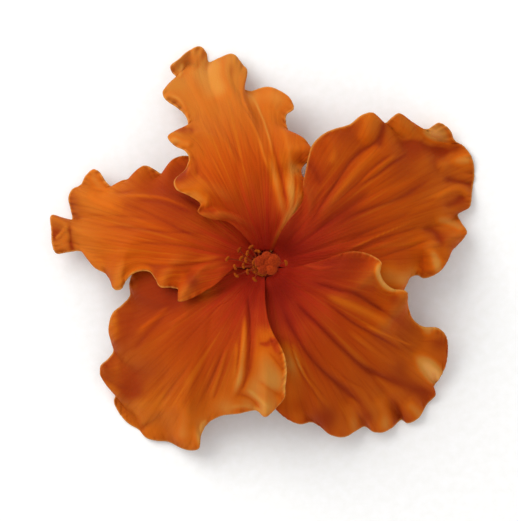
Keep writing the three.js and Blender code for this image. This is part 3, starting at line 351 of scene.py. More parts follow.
RIGHT_PETAL = {
    "name": "petal_right", "droop": 0.885, "frill": 1.1, "arch": 0,
    "grooves": [-0.3, -0.1, 0.08, 0.25], "flush": (34, 0.85), "golden": -0.35, "shade": -0.1,
    "painted_light_spots": [
        (-0.5, 6, (28, 45)), (-0.4, 5, (21, 43)), (-0.6, 5, (62, 9)), (-0.5, 8, (58, 34)),
        (-0.4, 8, (50, 28)), (-0.5, 7, (30, 15)), (1.0, 5, (43, -4)), (0.5, 4, (50, -5.6)),
        (0.6, 3, (60.5, 0.5)), (0.6, 3, (52, -2.4)), (-0.6, 8, (18, 6)), (-0.7, 5, (9, 5)),
        (1.8, 4.5, (60.5, 46.5)), (-0.4, 3, (68, 42)), (0.3, 5, (54, 1)), (-0.6, 6, (34, 47)),
        (-0.4, 8, (46, 38)), (0.4, 4, (66, 17)), (0.3, 4, (56, 34)), (-0.4, 4, (70, 22)),
        (-0.6, 4, (63, 36)), (0.3, 4, (48, 45)), (0.3, 4, (38, 43)), (-0.4, 4, (46, 52)),
        (-0.6, 4, (52, 40)), (-0.4, 3, (64, 35)), (0.5, 3, (48, -6)),
    ],
    "under": [
        (9.5, -2.2), (15, -4.5), (22, -6), (29, -7.5), (36, -10), (42, -12), (47, -11), (49.4, -7.5),
        (51, -4.7), (53.6, -4), (55.6, -5), (59.5, -3.8), (62.6, -1.3), (63.1, 0.8), (61.6, 4.2), (62.8, 6),
    ],
    "tip": [
        (64.8, 4.4), (68, 6.7), (70.6, 9.8), (71.3, 11.2), (69.2, 15), (68.3, 17.5), (70, 18.7),
        (72.4, 20.2), (73.3, 25.5), (74.2, 32), (73.4, 37.3), (70.6, 41.6), (67.3, 43.6, 2),
        (65.4, 47.2, 3),
    ],
    "over": [
        (61.5, 49.7, 3), (56.8, 47.5, 1), (51, 50.5), (47, 53), (44.5, 51.4), (42.2, 49.6), (39.7, 51.4),
        (37.8, 53), (34, 52.2), (29.5, 48.8), (24.5, 47.2), (20.5, 45.4), (16.5, 41.5), (15.1, 37.5),
        (14.1, 32.5), (13.2, 28), (13.4, 23), (11.5, 19), (8.3, 15.4), (5.3, 10.6),
    ],
    "folds": [
        (-0.9, -1.1, 1.0, [(13, 11), (17, 16), (20, 21), (23.6, 26.4), (27, 31.6), (29.6, 35.4), (33.4, 39),
            (37.2, 41.4), (40.4, 45), (41.6, 51)]),
        (0.7, 0.6, 1.8, [(17.6, 15.5), (24, 22.6), (30.6, 31), (36, 37), (42, 42)]),
        (-0.5, -0.8, 0.7, [(22, 19), (28.4, 25), (32.8, 28.8), (36.6, 32.6), (40.8, 36), (45.4, 39.4)]),
        (-0.5, -1.0, 0.6, [(29, 24), (34.6, 28.2), (39, 31), (42.8, 34), (46.6, 36.4), (51, 39)]),
        (0.4, 0.6, 0.5, [(32, 27.2), (36.8, 31.2), (41.4, 34.8), (47, 39)]),
        (-0.6, -0.9, 1.7, [(15, 9.4), (24, 15.6), (31, 21), (38, 26)]),
        (-0.5, -0.9, 0.9, [(22, 11), (29.4, 16.2), (34.8, 18.6), (40, 20.4), (44.6, 22), (49, 24),
            (53.6, 26.8), (60, 31)]),
        (0.4, 0.35, 1.5, [(28, 17), (38, 22.5), (48, 27.4), (58, 33)]),
        (0.4, 0.7, 0.5, [(27, 4.4), (32.2, 6.5), (38, 9.1), (46, 12.6), (56, 16.6)]),
        (-0.4, -0.7, 0.5, [(29, 4.2), (36.2, 7.2), (40.8, 9), (45.4, 10.4), (51.2, 12.2), (57.2, 15)]),
        (-0.5, -0.6, 0.8, [(26, 6.6), (36, 11.4), (45, 15.4), (54, 19.2)]),
        (-0.5, -0.6, 0.6, [(28, 2.8), (38, 7), (46, 10)]),
        (-0.5, -0.8, 0.6, [(36, 1.2), (41, 2.6), (45.4, 4.2), (50, 5.6), (55, 7.4), (59, 9)]),
        (0.3, 0.4, 0.6, [(41, 4.4), (50, 7.1), (56.6, 9.6)]),
        (0.3, 0.4, 0.8, [(36, 5), (45, 8), (54, 11.4)]),
        (-1.0, -1.1, 2.6, [(13, 37), (16, 34), (18, 31), (20, 26)]),
        (0.6, 0.7, 2.2, [(22, 45), (24, 40), (22.6, 33)]),
        (0.9, 0.9, 2.4, [(33.6, 42), (36, 47), (38, 55)]),
        (-1.1, -1.0, 1.6, [(39.6, 39), (40.8, 44.5), (41.8, 51)]),
        (-0.9, -1.1, 1.8, [(44, 42), (52, 42.4), (60, 40.4), (66, 39.6)]),
        (0.6, 0.9, 2.2, [(53, 47.6), (59, 46), (64, 43.8), (69, 41.6)]),
        (0.2, 0.9, 0.5, [(18, 44.4), (24.5, 47), (29.5, 48.6), (34, 52), (36, 53)]),
        (0.5, 0.5, 2.4, [(43, 52), (48, 47), (53, 45)]),
        (-0.8, -0.7, 1.8, [(58, 40), (64, 40), (70, 41.5)]),
        (1.2, 1.4, 2.6, [(60, 33.4), (66, 36), (76, 37.5)]),
        (-1.2, -1.0, 1.4, [(62, 30), (68, 29), (76, 27)]),
        (1.0, 1.0, 1.4, [(57, 21), (62, 24.2), (66, 26.2), (70, 26), (74, 23)]),
        (-1.1, -1.0, 2.2, [(62, 19.5), (67, 21.5), (71, 25)]),
        (0.8, 1.2, 2.4, [(58, 16), (65, 14.5), (72, 11)]),
        (-1.1, -0.8, 1.3, [(54, 12.5), (59.5, 11.2), (63, 6)]),
        (0.6, 0.5, 2.0, [(57, 3), (59.5, 8.5)]),
        (-1.0, -0.8, 1.2, [(55, 5), (55.3, -1), (55, -7)]),
        (0.8, 1.0, 1.8, [(58, 6), (60, 1), (61, -5)]),
    ],
}
PETALS = [TOP_PETAL, LEFT_PETAL, LOWER_LEFT_PETAL, LOWER_RIGHT_PETAL, RIGHT_PETAL]


# ---------------------------------------------------------------- materials
def linear(colour):
    """An sRGB hex colour, such as "#c8560e", as linear RGBA."""
    parts = [int(colour[i:i + 2], 16) / 255 for i in (1, 3, 5)]
    return [c / 12.92 if c <= 0.04045 else ((c + 0.055) / 1.055) ** 2.4 for c in parts] + [1.0]


def add(tree, kind, sockets=None, stops=None, **settings):
    """Adds a node to a tree. Settings are its properties, sockets its values or the outputs that feed
    them, by name or number, and stops the (place, colour) pairs of a ramp."""
    made = tree.nodes.new("ShaderNode" + kind)
    for key, value in settings.items():
        setattr(made, key, value)
    for key, value in (sockets or {}).items():
        if isinstance(value, bpy.types.NodeSocket):
            tree.links.new(value, made.inputs[key])
        else:
            made.inputs[key].default_value = linear(value) if isinstance(value, str) else value
    if stops:
        elements = made.color_ramp.elements
        for place, colour in stops[1:-1]:
            elements.new(place).color = linear(colour)
        elements[0].position, elements[0].color = stops[0][0], linear(stops[0][1])
        elements[-1].position, elements[-1].color = stops[-1][0], linear(stops[-1][1])
    return made


def new_material(name, surface):
    """A material with one Principled BSDF, as (material, tree, shader). What is the same all over the
    surface is set on the shader's own sockets."""
    material = bpy.data.materials.new(name)
    material.use_nodes = True
    shader = material.node_tree.nodes["Principled BSDF"]
    for key, value in surface.items():
        shader.inputs[key].default_value = linear(value) if isinstance(value, str) else value
    return material, material.node_tree, shader


# What the petal's colour reads at each point of it: mm walked from the claw, the place across the fan
# of veins from -1 to 1, mm in from the margin, mm above the smoothed petal, 1 on the underside, and
# the tone of painted light and shade, the crimson flush and the gold that the petals' own list gives.
PETAL_READS = ("reach", "vein", "edge", "fold", "underside", "tone", "flush", "golden")
PETAL_LENGTH, HALF_FAN = 85, 30                  # mm to the farthest tip, and half a petal's width


def petal_material():
    """Living hibiscus petal: a thin satin skin over watery flesh, grown in long cells that fan out from
    the claw. It gives the eye a soft glow with no hard highlight, deep crimson in the throat and
    orange on the limb, a little light that soaks through, and fine streaks along the veins. Watery
    flesh has an IOR of 1.36, lowered here because its highlight is broken up by domed cells."""
    material, tree, shader = new_material("living_petal_satin_orange", {
        "IOR": 1.2, "Specular IOR Level": 0.2, "Specular Tint": "#ffb060",
        "Sheen Weight": 0.02, "Sheen Roughness": 0.4, "Sheen Tint": "#ff9040",
        "Subsurface Weight": 0.12, "Subsurface Radius": (1.0, 0.25, 0.04),
        "Subsurface Scale": 1.0 * MM,
    })
    reach, vein, edge, fold, underside, tone, flush, golden = [
        add(tree, "Attribute", attribute_name=name).outputs["Fac"] for name in PETAL_READS]

    def tinted(ground, tint, reading, none_at, full_at, most=1.0):
        """The ground colour under a tint that comes in as the reading goes from none_at to full_at."""
        limits = {"Value": reading, "From Min": none_at, "From Max": full_at, "To Max": most}
        amount = add(tree, "MapRange", limits, interpolation_type="SMOOTHSTEP").outputs["Result"]
        return add(tree, "Mix", {0: amount, 6: ground, 7: tint}, data_type="RGBA").outputs[2]

    def streaks(spacing, length, detail, offset):
        """Noise drawn out along the petal in streaks of about such a spacing and length in mm."""
        across = add(tree, "Math", {0: vein, 1: HALF_FAN / spacing}, operation="MULTIPLY").outputs[0]
        along_it = add(tree, "Math", {0: reach, 1: 1 / length}, operation="MULTIPLY").outputs[0]
        place = add(tree, "CombineXYZ", {0: across, 1: along_it, 2: offset}).outputs[0]
        noise = {"Vector": place, "Scale": 1.0, "Detail": detail, "Roughness": 0.55}
        return add(tree, "TexNoise", noise).outputs["Fac"]

    # The ground colour, from claw to tip, with a border that wavers from vein to vein.
    broad = streaks(HALF_FAN / 7, 45, 2, 3)
    limits = {"Value": broad, "From Min": 0.3, "From Max": 0.7, "To Min": -0.05, "To Max": 0.05}
    waver = add(tree, "MapRange", limits, interpolation_type="SMOOTHSTEP").outputs["Result"]
    share = add(tree, "Math", {0: reach, 1: 1 / PETAL_LENGTH}, operation="MULTIPLY").outputs[0]
    place = add(tree, "Math", {0: share, 1: waver}, operation="ADD").outputs[0]
    colour = add(tree, "ValToRGB", {0: place}, stops=[
        (0.0, "#f04a30"), (0.12, "#e03c24"), (0.22, "#c83416"), (0.33, "#bb3c12"),
        (0.45, "#ae3f0a"), (0.65, "#b54807"), (0.85, "#ba5309"), (1.0, "#bf5f14"),
    ]).outputs["Color"]

    # Veins: the finest lie some 0.3 mm apart, too fine to show, and are drawn 1 mm apart.
    fine = streaks(1.0, 30, 3, 11)
    colour = tinted(colour, "#8c2a0a", fine, 0.45, 0.7, 0.32)
    colour = tinted(colour, "#c86c10", streaks(HALF_FAN / 17, 40, 3, 7), 0.5, 0.72, 0.32)

    # The limb's own yellow or red; crests paler with painted highlight and hollows deeper with painted
    # shade, partly the grooves' own deeper colour; and the crimson throat.
    colour = tinted(colour, "#bc7830", golden, 0, 1)
    colour = tinted(colour, "#ac3408", golden, 0, -1)
    colour = tinted(colour, "#c27a2a", fold, 0.3, 2.2, 0.3)
    colour = tinted(colour, "#84210a", fold, -0.3, -2.0, 0.35)
    throat = tinted("#e03a26", "#942014", share, 0.02, 0.17)
    colour = add(tree, "Mix", {0: flush, 6: colour, 7: throat}, data_type="RGBA").outputs[2]

    # Tone: painted light and shade. Lit and pale where light falls, painted highlight at the palest, and
    # deep where the flesh folds in or lies under a neighbouring petal, as painted shade.
    lit = tinted("#d4421c", "#c85f0f", reach, 13, 38)
    lit = tinted(lit, "#be7430", golden, 0, 1, 0.7)
    colour = tinted(colour, lit, tone, 0, 0.8, 0.9)
    pale = tinted("#d86a20", "#cc8638", reach, 15, 31)
    colour = tinted(colour, pale, tone, 0.5, 1.6, 0.9)
    colour = tinted(colour, "#eaa456", tone, 1.4, 2.8, 0.9)
    deep = tinted("#821c12", "#8c2c0e", reach, 25, 55)
    colour = tinted(colour, deep, tone, 0, -1.4, 0.9)

    # A thin pale rim on the limb, partly the margin's own paler colour and partly painted glow where
    # light shows through the thin edge; and a paler, duller underside.
    rimmed = tinted(colour, "#cf8c3e", edge, 0.9, 0.1, 0.7)
    colour = tinted(colour, rimmed, reach, 38, 60)
    colour = tinted(colour, "#c87a30", underside, 0, 1, 0.35)
    tree.links.new(colour, shader.inputs["Base Color"])

    limits = {"Value": fine, "From Min": 0.3, "From Max": 0.7, "To Min": 0.46, "To Max": 0.62}
    satin = add(tree, "MapRange", limits, interpolation_type="SMOOTHSTEP").outputs["Result"]
    tree.links.new(satin, shader.inputs["Roughness"])

    # Skin cells are domes 0.03 mm wide, too fine to show: they are drawn as a grain of 0.7 mm.
    cells = {"Vector": add(tree, "TexCoord").outputs["Object"], "Scale": 1 / (0.7 * MM), "Detail": 3.0}
    grain = add(tree, "TexNoise", cells).outputs["Fac"]
    height = add(tree, "Math", {0: fine, 1: grain}, operation="ADD").outputs[0]
    bump = add(tree, "Bump", {"Strength": 0.5, "Distance": 0.2 * MM, "Height": height})
    tree.links.new(bump.outputs[0], shader.inputs["Normal"])
    return material


ROUGHNESS_SPREAD = 0.08


def grained_material(name, dark, light, grain, roughness, relief, gloss=0.2, sheen=0.0):
    """A natural surface mottled between two colours, by a grain whose spacing and relief are in mm. It
    is lighter where its "paleness" is higher, and crimson like the throat where its "blush" is 1."""
    surface = {"Sheen Weight": sheen, "Specular IOR Level": gloss}
    material, tree, shader = new_material(name, surface)
    place = add(tree, "TexCoord").outputs["Object"]
    noise = {"Vector": place, "Scale": 1 / (grain * MM), "Detail": 3.0}
    speckle = add(tree, "TexNoise", noise).outputs["Fac"]
    paleness = add(tree, "Attribute", attribute_name="paleness").outputs["Fac"]
    blend = add(tree, "Math", {0: speckle, 1: paleness}, operation="ADD").outputs[0]
    colour = add(tree, "ValToRGB", {0: blend}, stops=[(0.3, dark), (0.75, light)]).outputs["Color"]
    blush = add(tree, "Attribute", attribute_name="blush").outputs["Fac"]
    colour = add(tree, "Mix", {0: blush, 6: colour, 7: "#b02614"}, data_type="RGBA").outputs[2]
    tree.links.new(colour, shader.inputs["Base Color"])
    bump = add(tree, "Bump", {"Strength": 0.5, "Distance": relief * MM, "Height": speckle})
    tree.links.new(bump.outputs[0], shader.inputs["Normal"])
    limits = {"Value": speckle, "To Min": roughness - ROUGHNESS_SPREAD,
              "To Max": roughness + ROUGHNESS_SPREAD}
    tree.links.new(add(tree, "MapRange", limits).outputs[0], shader.inputs["Roughness"])
    return material


# ---------------------------------------------------------------- meshes
def make_piece(name, parts, material, replaced):
    """One object from (points in mm, faces, readings) parts. It rides on the body and stands for the
    CAD node."""
    points = np.concatenate([np.asarray(part[0], float) for part in parts])
    faces, start = [], 0
    for part in parts:
        faces += [tuple(i + start for i in face) for face in part[1]]
        start += len(part[0])
    mesh = bpy.data.meshes.new(name)
    mesh.from_pydata((points * MM + (AXIS.x, AXIS.y, 0)).tolist(), [], faces)
    for key in parts[0][2]:
        values = np.concatenate([np.broadcast_to(part[2][key], len(part[0])) for part in parts])
        mesh.attributes.new(key, "FLOAT", "POINT").data.foreach_set("value", values.astype(np.float32))
    mesh.shade_smooth()
    mesh.materials.append(material)
    piece = bpy.data.objects.new(name, mesh)
    bpy.context.scene.collection.objects.link(piece)
    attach(piece, "root")
    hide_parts(replaced)


def polar(radius, azimuth):
    """The place at a distance from the axis, at an azimuth in degrees."""
    turn = math.radians(azimuth)
    return radius * math.cos(turn), radius * math.sin(turn)


def between(start, end, share):
    """The value at a share of the way from start to end."""
    return start + (end - start) * share


def smooth_line(points, per_span):
    """A centripetal Catmull-Rom curve through the points, with per_span samples a span."""
    given = np.asarray(points, float)
    knots = np.vstack([2 * given[0] - given[1], given, 2 * given[-1] - given[-2]])
    line = []
    for i in range(1, len(knots) - 2):
        behind, start, end, ahead = knots[i - 1:i + 3]
        steps = (start - behind, end - start, ahead - end)
        before, here, after = [max(np.linalg.norm(step), TINY) ** 0.5 for step in steps]
        leave = steps[0] / before - (end - behind) / (before + here) + steps[1] / here
        arrive = steps[1] / here - (ahead - start) / (here + after) + steps[2] / after
        leave, arrive = leave * here, arrive * here
        for t in np.arange(per_span) / per_span:
            bend = (3 * steps[1] - 2 * leave - arrive) * t * t
            line.append(start + leave * t + bend + (leave + arrive - 2 * steps[1]) * t ** 3)
    return np.array(line + [knots[-2]])


def bands(rings, sides, first=0, closed=False):
    """The four-cornered faces between rings of points that start at the first one. Closed bands run on
    from the last ring to the first."""
    faces = []
    for ring in range(rings if closed else rings - 1):
        here, beyond = first + ring * sides, first + (ring + 1) % rings * sides
        for side in range(sides):
            beside = (side + 1) % sides
            faces.append((here + side, here + beside, beyond + beside, beyond + side))
    return faces


def blur(values, cells):
    """A grid of values, averaged over about so many cells both ways."""
    limit = SMOOTHING_LIMIT * cells
    reach = np.arange(-limit, limit + 1)
    weights = np.exp(-0.5 * (reach / cells) ** 2)
    weights /= weights.sum()
    for axis in (0, 1):
        pad = [(0, 0), (0, 0)]
        pad[axis] = (limit, limit)
        wide = np.pad(values, pad, mode="edge")
        values = np.apply_along_axis(lambda row: np.convolve(row, weights, "valid"), axis, wide)
    return values


# ---------------------------------------------------------------- petals
SMOOTH_X, SMOOTH_Y, RUFFLE_X, RUFFLE_Y, LIFT, WALKED = range(6)      # the rows of a traced margin


def trumpet_height(radius, droop=USUAL_DROOP):
    """Height of the shared trumpet at a distance from the axis."""
    climb = TRUMPET_RISE * (1 - np.exp(-(radius - CLAW_RADIUS) / TRUMPET_FLARE))
    limb = np.maximum(0, radius - LIMB_START)
    return CLAW_HEIGHT + climb - droop * (np.hypot(limb, LIMB_BEND) - LIMB_BEND)


def overlap_lift(radius):
    """How far a petal's over side lies above the trumpet, and its under side below it."""
    return OVERLAP_LIFT * (1 - np.exp(-(radius - CLAW_RADIUS) / OVERLAP_START))


def trace_margin(petal, azimuth):
    """The margin's samples in the rows named above, and the samples where the tip begins and ends."""
    claws = [polar(CLAW_RADIUS, azimuth + side * CLAW_HALF_ANGLE) for side in (-1, 1)]
    points = [claws[0]] + petal["under"] + petal["tip"] + petal["over"] + [claws[1]]
    x, y, lift = smooth_line([(*point, 0)[:3] for point in points], MARGIN_SAMPLES).T
    climb = np.diff(trumpet_height(np.hypot(x, y)))
    walked = np.cumsum(np.sqrt(np.diff(x) ** 2 + np.diff(y) ** 2 + climb ** 2))
    walked = np.concatenate([[0], walked])
    step = np.concatenate([walked[1:], walked[-1:]]) - np.concatenate([walked[:1], walked[:-1]])
    reach = np.minimum(RUFFLE_SMOOTHING, np.minimum(walked, walked[-1] - walked) / CLAW_EASE) + TINY
    away = (walked[None, :] - walked[:, None]) / reach[:, None]
    weights = np.where(np.abs(away) <= SMOOTHING_LIMIT, step * np.exp(-0.5 * away * away), 0)
    weights /= weights.sum(1, keepdims=True)
    smooth_x, smooth_y = weights @ x, weights @ y
    numbers = np.arange(len(x))
    after, before = np.minimum(numbers + 1, len(x) - 1), np.maximum(numbers - 1, 0)
    head_x, head_y = smooth_x[after] - smooth_x[before], smooth_y[after] - smooth_y[before]
    outward = ((x - smooth_x) * head_y - (y - smooth_y) * head_x) / (np.hypot(head_x, head_y) + TINY)
    lift = lift + petal["frill"] * outward
    tip_from = len(petal["under"]) * MARGIN_SAMPLES
    tip_to = tip_from + (len(petal["tip"]) + 1) * MARGIN_SAMPLES
    return np.array([smooth_x, smooth_y, x - smooth_x, y - smooth_y, lift, walked]), tip_from, tip_to


def along(line, start, end, share):
    """The margin's rows at an even share of the way between two samples."""
    target = between(line[WALKED][start], line[WALKED][end], share)
    return [np.interp(target, line[WALKED], row) for row in line]


def fade(share, reach):
    """One at a share of nothing, falling smoothly to nothing at the reach."""
    return np.where(share < reach, np.cos(np.pi / 2 * np.minimum(share / reach, 1)) ** 2, 0)


def crimp(walked, seed):
    """A fine crimp along the margin, between about -1 and 1."""
    draw = random.Random(seed)
    waves = [(draw.uniform(*FRILL_LENGTHS), draw.uniform(0, TAU)) for _ in range(FRILL_WAVES)]
    return sum(np.sin(TAU * walked / length + phase) for length, phase in waves) / FRILL_LEVEL


def folded(x, y, folds):
    """The height, and the tone of painted highlight and shade, that a petal's folds add at places on it."""
    height, tone = np.zeros_like(x), np.zeros_like(x)
    for rise, paler, half_width, points in folds:
        line = smooth_line(points, FOLD_SAMPLES)
        apart = np.full(x.shape, np.inf)
        place = np.zeros_like(x)
        for i, (fold_x, fold_y) in enumerate(line):
            gap = np.hypot(x - fold_x, y - fold_y)
            place = np.where(gap < apart, i / (len(line) - 1), place)
            apart = np.minimum(apart, gap)
        taper = np.clip(place / FOLD_START, 0, 1) * np.clip((1 - place) / FOLD_END, 0, 1)
        sharpness = CREASE_SHARPNESS if rise < 0 else RIDGE_SHARPNESS
        shape = np.exp(-(apart / half_width) ** sharpness)
        shape *= np.sin(taper * math.pi / 2) ** FOLD_ROUNDING
        height += rise * shape
        tone += paler * shape
    return height, tone


def fan_across(x, y, azimuth):
    """Where a place lies across the fan of veins, from about -0.5 to 0.5. The veins leave the claw and
    spread evenly, in nearly straight lines that take no notice of the ruffles."""
    turn = (np.degrees(np.arctan2(y, x)) - azimuth + 180) % 360 - 180
    inward = CLAW_RADIUS / np.hypot(x, y)
    middle = x.shape[1] // 2
    bend = np.polynomial.Polynomial.fit(inward[:, middle], turn[:, middle], 1)
    half = np.polynomial.Polynomial.fit(inward[:, middle], (turn[:, -1] - turn[:, 0]) / 2, 1)
    return (turn - bend(inward)) / (2 * np.maximum(half(inward), NARROWEST_FAN))


def rest_on_surface(height):
    """Heights near the surface below, eased so that a petal lies on it and never under it."""
    above = height - CAD_THICKNESS / 2
    settled = (np.clip(above, -RESTING_SOFTNESS, RESTING_SOFTNESS) + RESTING_SOFTNESS) ** 2
    settled = settled / (4 * RESTING_SOFTNESS)
    return np.where(above >= RESTING_SOFTNESS, height, settled + CAD_THICKNESS / 2)


def petal_surface(petal, azimuth, seed):
    """A petal's middle surface as a grid of points, rows from claw to tip, and what its colour reads."""
    line, tip_from, tip_to = trace_margin(petal, azimuth)
    last = line.shape[1] - 1
    across, out = np.meshgrid(np.linspace(0, 1, COLUMNS + 1), np.linspace(0, 1, ROWS + 1))
    under, over = along(line, 0, tip_from, out), along(line, last, tip_to, out)
    tip = along(line, tip_from, tip_to, across)
    under_claw, over_claw = line[:, 0], line[:, last]
    under_tip, over_tip = line[:, tip_from], line[:, tip_to]

    # The smooth plan: a net stretched between the claw, the two sides and the tip.
    turn = np.radians(azimuth + between(-1, 1, across) * CLAW_HALF_ANGLE)
    claw = (CLAW_RADIUS * np.cos(turn), CLAW_RADIUS * np.sin(turn))
    plan = []
    for row in (SMOOTH_X, SMOOTH_Y):
        claw_corners = between(under_claw[row], over_claw[row], across)
        tip_corners = between(under_tip[row], over_tip[row], across)
        net = between(under[row], over[row], across) + between(claw[row], tip[row], out)
        plan.append(net - between(claw_corners, tip_corners, out))

    def ruffle(row, side_depth, tip_depth, lean=0.0):
        """What one row of the margin's ruffle adds inside it, fading from both sides and the tip."""
        under_share, over_share = fade(across, side_depth), fade(1 - across, side_depth)
        under_at, over_at = [1 - (1 - out) * share ** lean for share in (1 - across, across)]
        from_tip = tip[row] - under_share * under_tip[row] - over_share * over_tip[row]
        return (
            under_share * along(line, 0, tip_from, under_at)[row]
            + over_share * along(line, last, tip_to, over_at)[row]
            + fade(1 - out, tip_depth) * from_tip
        )

    # The form that the solids have too.
    x = plan[0] + ruffle(RUFFLE_X, SIDE_DEPTH, TIP_DEPTH)
    y = plan[1] + ruffle(RUFFLE_Y, SIDE_DEPTH, TIP_DEPTH)
    radius = np.hypot(*plan)
    fan = (across - 0.5) / between(1, GROOVE_FAN, out)
    grooved = sum(np.exp(-(((fan - at) / GROOVE_WIDTH) ** 2)) for at in petal["grooves"])
    grooved *= GROOVE_DEPTH * np.sin(np.pi / 2 * np.minimum(1, out / GROOVE_FULL)) ** 2
    arch = petal["arch"] * np.sin(np.pi * across) * np.sin(np.pi * out)
    z = trumpet_height(radius, petal["droop"]) + overlap_lift(radius) * between(-1, 1, across)
    z += arch + ruffle(LIFT, VALLEY, VALLEY, VALLEY_LEAN) - grooved

    # The finer forms: folds, a crimped margin and raised veins that fan from the claw.
    height, tone = folded(x, y, petal["folds"])
    walked = line[WALKED]
    sides = (
        (across, between(walked[0], walked[tip_from], out)),
        (1 - across, between(walked[last], walked[tip_to], out)),
        (1 - out, between(walked[tip_from], walked[tip_to], across)),
    )
    crimped = sum(fade(inward, FRILL_DEPTH) * crimp(place, seed) for inward, place in sides)
    crimped *= FRILL_HEIGHT * np.clip((radius - FRILL_FROM) / FRILL_GROWS, 0, 1)
    vein = fan_across(*plan, azimuth)
    sway = VEIN_SWAY[0] * np.sin(out * VEIN_SWAY[1] + seed)
    ribs = np.sin(TAU * VEIN_COUNT * vein + sway + VEIN_UNEVEN[0] * np.sin(vein * VEIN_UNEVEN[1]))
    z += height + crimped + VEIN_HEIGHT * ribs * np.clip(out / VEIN_GROWS, 0, 1)

    # Painted light and shade over the whole petal, and soft spots of painted highlight and shadow.
    tone += petal["shade"]
    for paler, spread, (spot_x, spot_y) in petal["painted_light_spots"]:
        tone += paler * np.exp(-((x - spot_x) ** 2 + (y - spot_y) ** 2) / spread ** 2)
    flush_reach, flush_most = petal["flush"]
    golden = petal["golden"] * np.clip((radius - GOLD_FROM) / GOLD_GROWS, 0, 1)
    reads = {"vein": 2 * vein, "tone": tone, "golden": golden}
    reads["flush"] = flush_most * np.exp(-(radius / flush_reach) ** 2)
    return np.stack([x, y, rest_on_surface(z)], -1), reads


def blade(points, reads):
    """A closed blade round a middle surface, thinner towards its free margin, with what the petal
    material reads at each point."""
    rows, columns = points.shape[:2]
    normal = np.cross(np.gradient(points, axis=1), np.gradient(points, axis=0))
    normal /= np.linalg.norm(normal, axis=-1, keepdims=True)
    normal *= np.sign(normal[rows // 2, columns // 2, 2])
    sideways, outwards = [
        np.insert(np.cumsum(np.linalg.norm(np.diff(points, axis=axis), axis=-1), axis), 0, 0, axis)
        for axis in (1, 0)
    ]
    edge = np.minimum(np.minimum(sideways, sideways[:, -1:] - sideways), outwards[-1:] - outwards)
    thick = between(RIM_THICKNESS, BODY_THICKNESS, np.clip(edge / RIM_TAPER, 0, 1))
    shift = normal * thick[..., None] / 2
    both = np.concatenate([(points + shift).reshape(-1, 3), (points - shift).reshape(-1, 3)])

    ids = np.arange(rows * columns).reshape(rows, columns)
    below = rows * columns
    corners = [ids[:-1, :-1], ids[:-1, 1:], ids[1:, 1:], ids[1:, :-1]]
    corners = [corner.ravel() for corner in corners]
    faces = list(zip(*corners)) + list(zip(*[below + corner for corner in reversed(corners)]))
    rim = np.concatenate([ids[0, :-1], ids[:-1, -1], ids[-1, :0:-1], ids[:0:-1, 0]])
    for here, beside in zip(rim, np.roll(rim, -1)):
        faces.append((beside, here, below + here, below + beside))

    reads = {"reach": outwards, "edge": edge, "fold": points[..., 2] - blur(points[..., 2], RELIEF_CELLS),
             **reads}
    reads = {key: np.tile(values.ravel(), 2) for key, values in reads.items()}
    reads["underside"] = np.repeat([0.0, 1.0], rows * columns)
    return both, faces, reads


PETAL_FLESH = petal_material()
for number, petal in enumerate(PETALS):
    surface = petal_surface(petal, FIRST_AZIMUTH + PETAL_STEP * number, number)
    make_piece(petal["name"] + "_blade", [blade(*surface)], PETAL_FLESH, petal["name"])


# ---------------------------------------------------------------- rounded forms
START_SIDE = (0.31, 0.95, 0.1)                   # a direction that no tube here sets out in


def tube(path, radii, sides, **reads):
    """A closed round tube along a path, with a radius at each point of it."""
    path = np.asarray(path, float)
    radii = np.broadcast_to(radii, len(path))
    ahead = np.gradient(path, axis=0)
    ahead /= np.linalg.norm(ahead, axis=1, keepdims=True)
    aside = np.cross(ahead[0], START_SIDE)
    turn = TAU * np.arange(sides) / sides
    points = []
    for centre, forward, radius in zip(path, ahead, radii):
        aside = aside - forward * aside.dot(forward)
        aside /= np.linalg.norm(aside)
        other = np.cross(forward, aside)
        points += list(centre + radius * (np.outer(np.cos(turn), aside) + np.outer(np.sin(turn), other)))
    start_cap = tuple(range(sides - 1, -1, -1))
    end_cap = tuple((len(path) - 1) * sides + k for k in range(sides))
    return np.array(points), bands(len(path), sides) + [start_cap, end_cap], reads


def ball(centre, radii, around, upright, turn, rough, draw, **reads):
    """A closed ellipsoid, turned about the vertical, with its surface roughened by small grains."""
    points = [(0.0, 0.0, -1.0)]
    for ring in range(1, upright):
        fall = math.pi * ring / upright
        for k in range(around):
            swell = 1 + draw.uniform(-rough, rough)
            wide, side = swell * math.sin(fall), TAU * k / around
            points.append((wide * math.cos(side), wide * math.sin(side), -swell * math.cos(fall)))
    points.append((0.0, 0.0, 1.0))
    top = len(points) - 1
    faces = bands(upright - 1, around, first=1)
    for k in range(around):
        beside = (k + 1) % around
        faces += [(0, 1 + beside, 1 + k), (top - around + k, top - around + beside, top)]
    x, y, z = (np.array(points) * radii).T
    turned = (x * math.cos(turn) - y * math.sin(turn), x * math.sin(turn) + y * math.cos(turn), z)
    return np.stack(turned, 1) + centre, faces, reads


def lathe(profile, sides, blush_above=math.inf):
    """A solid of revolution from a closed profile of (radius, height) points."""
    points = [
        (*polar(radius, 360 * k / sides), height) for radius, height in profile for k in range(sides)
    ]
    points = np.array(points)
    blush = (points[:, 2] > blush_above).astype(float)
    return points, bands(len(profile), sides, closed=True), {"paleness": 0.0, "blush": blush}


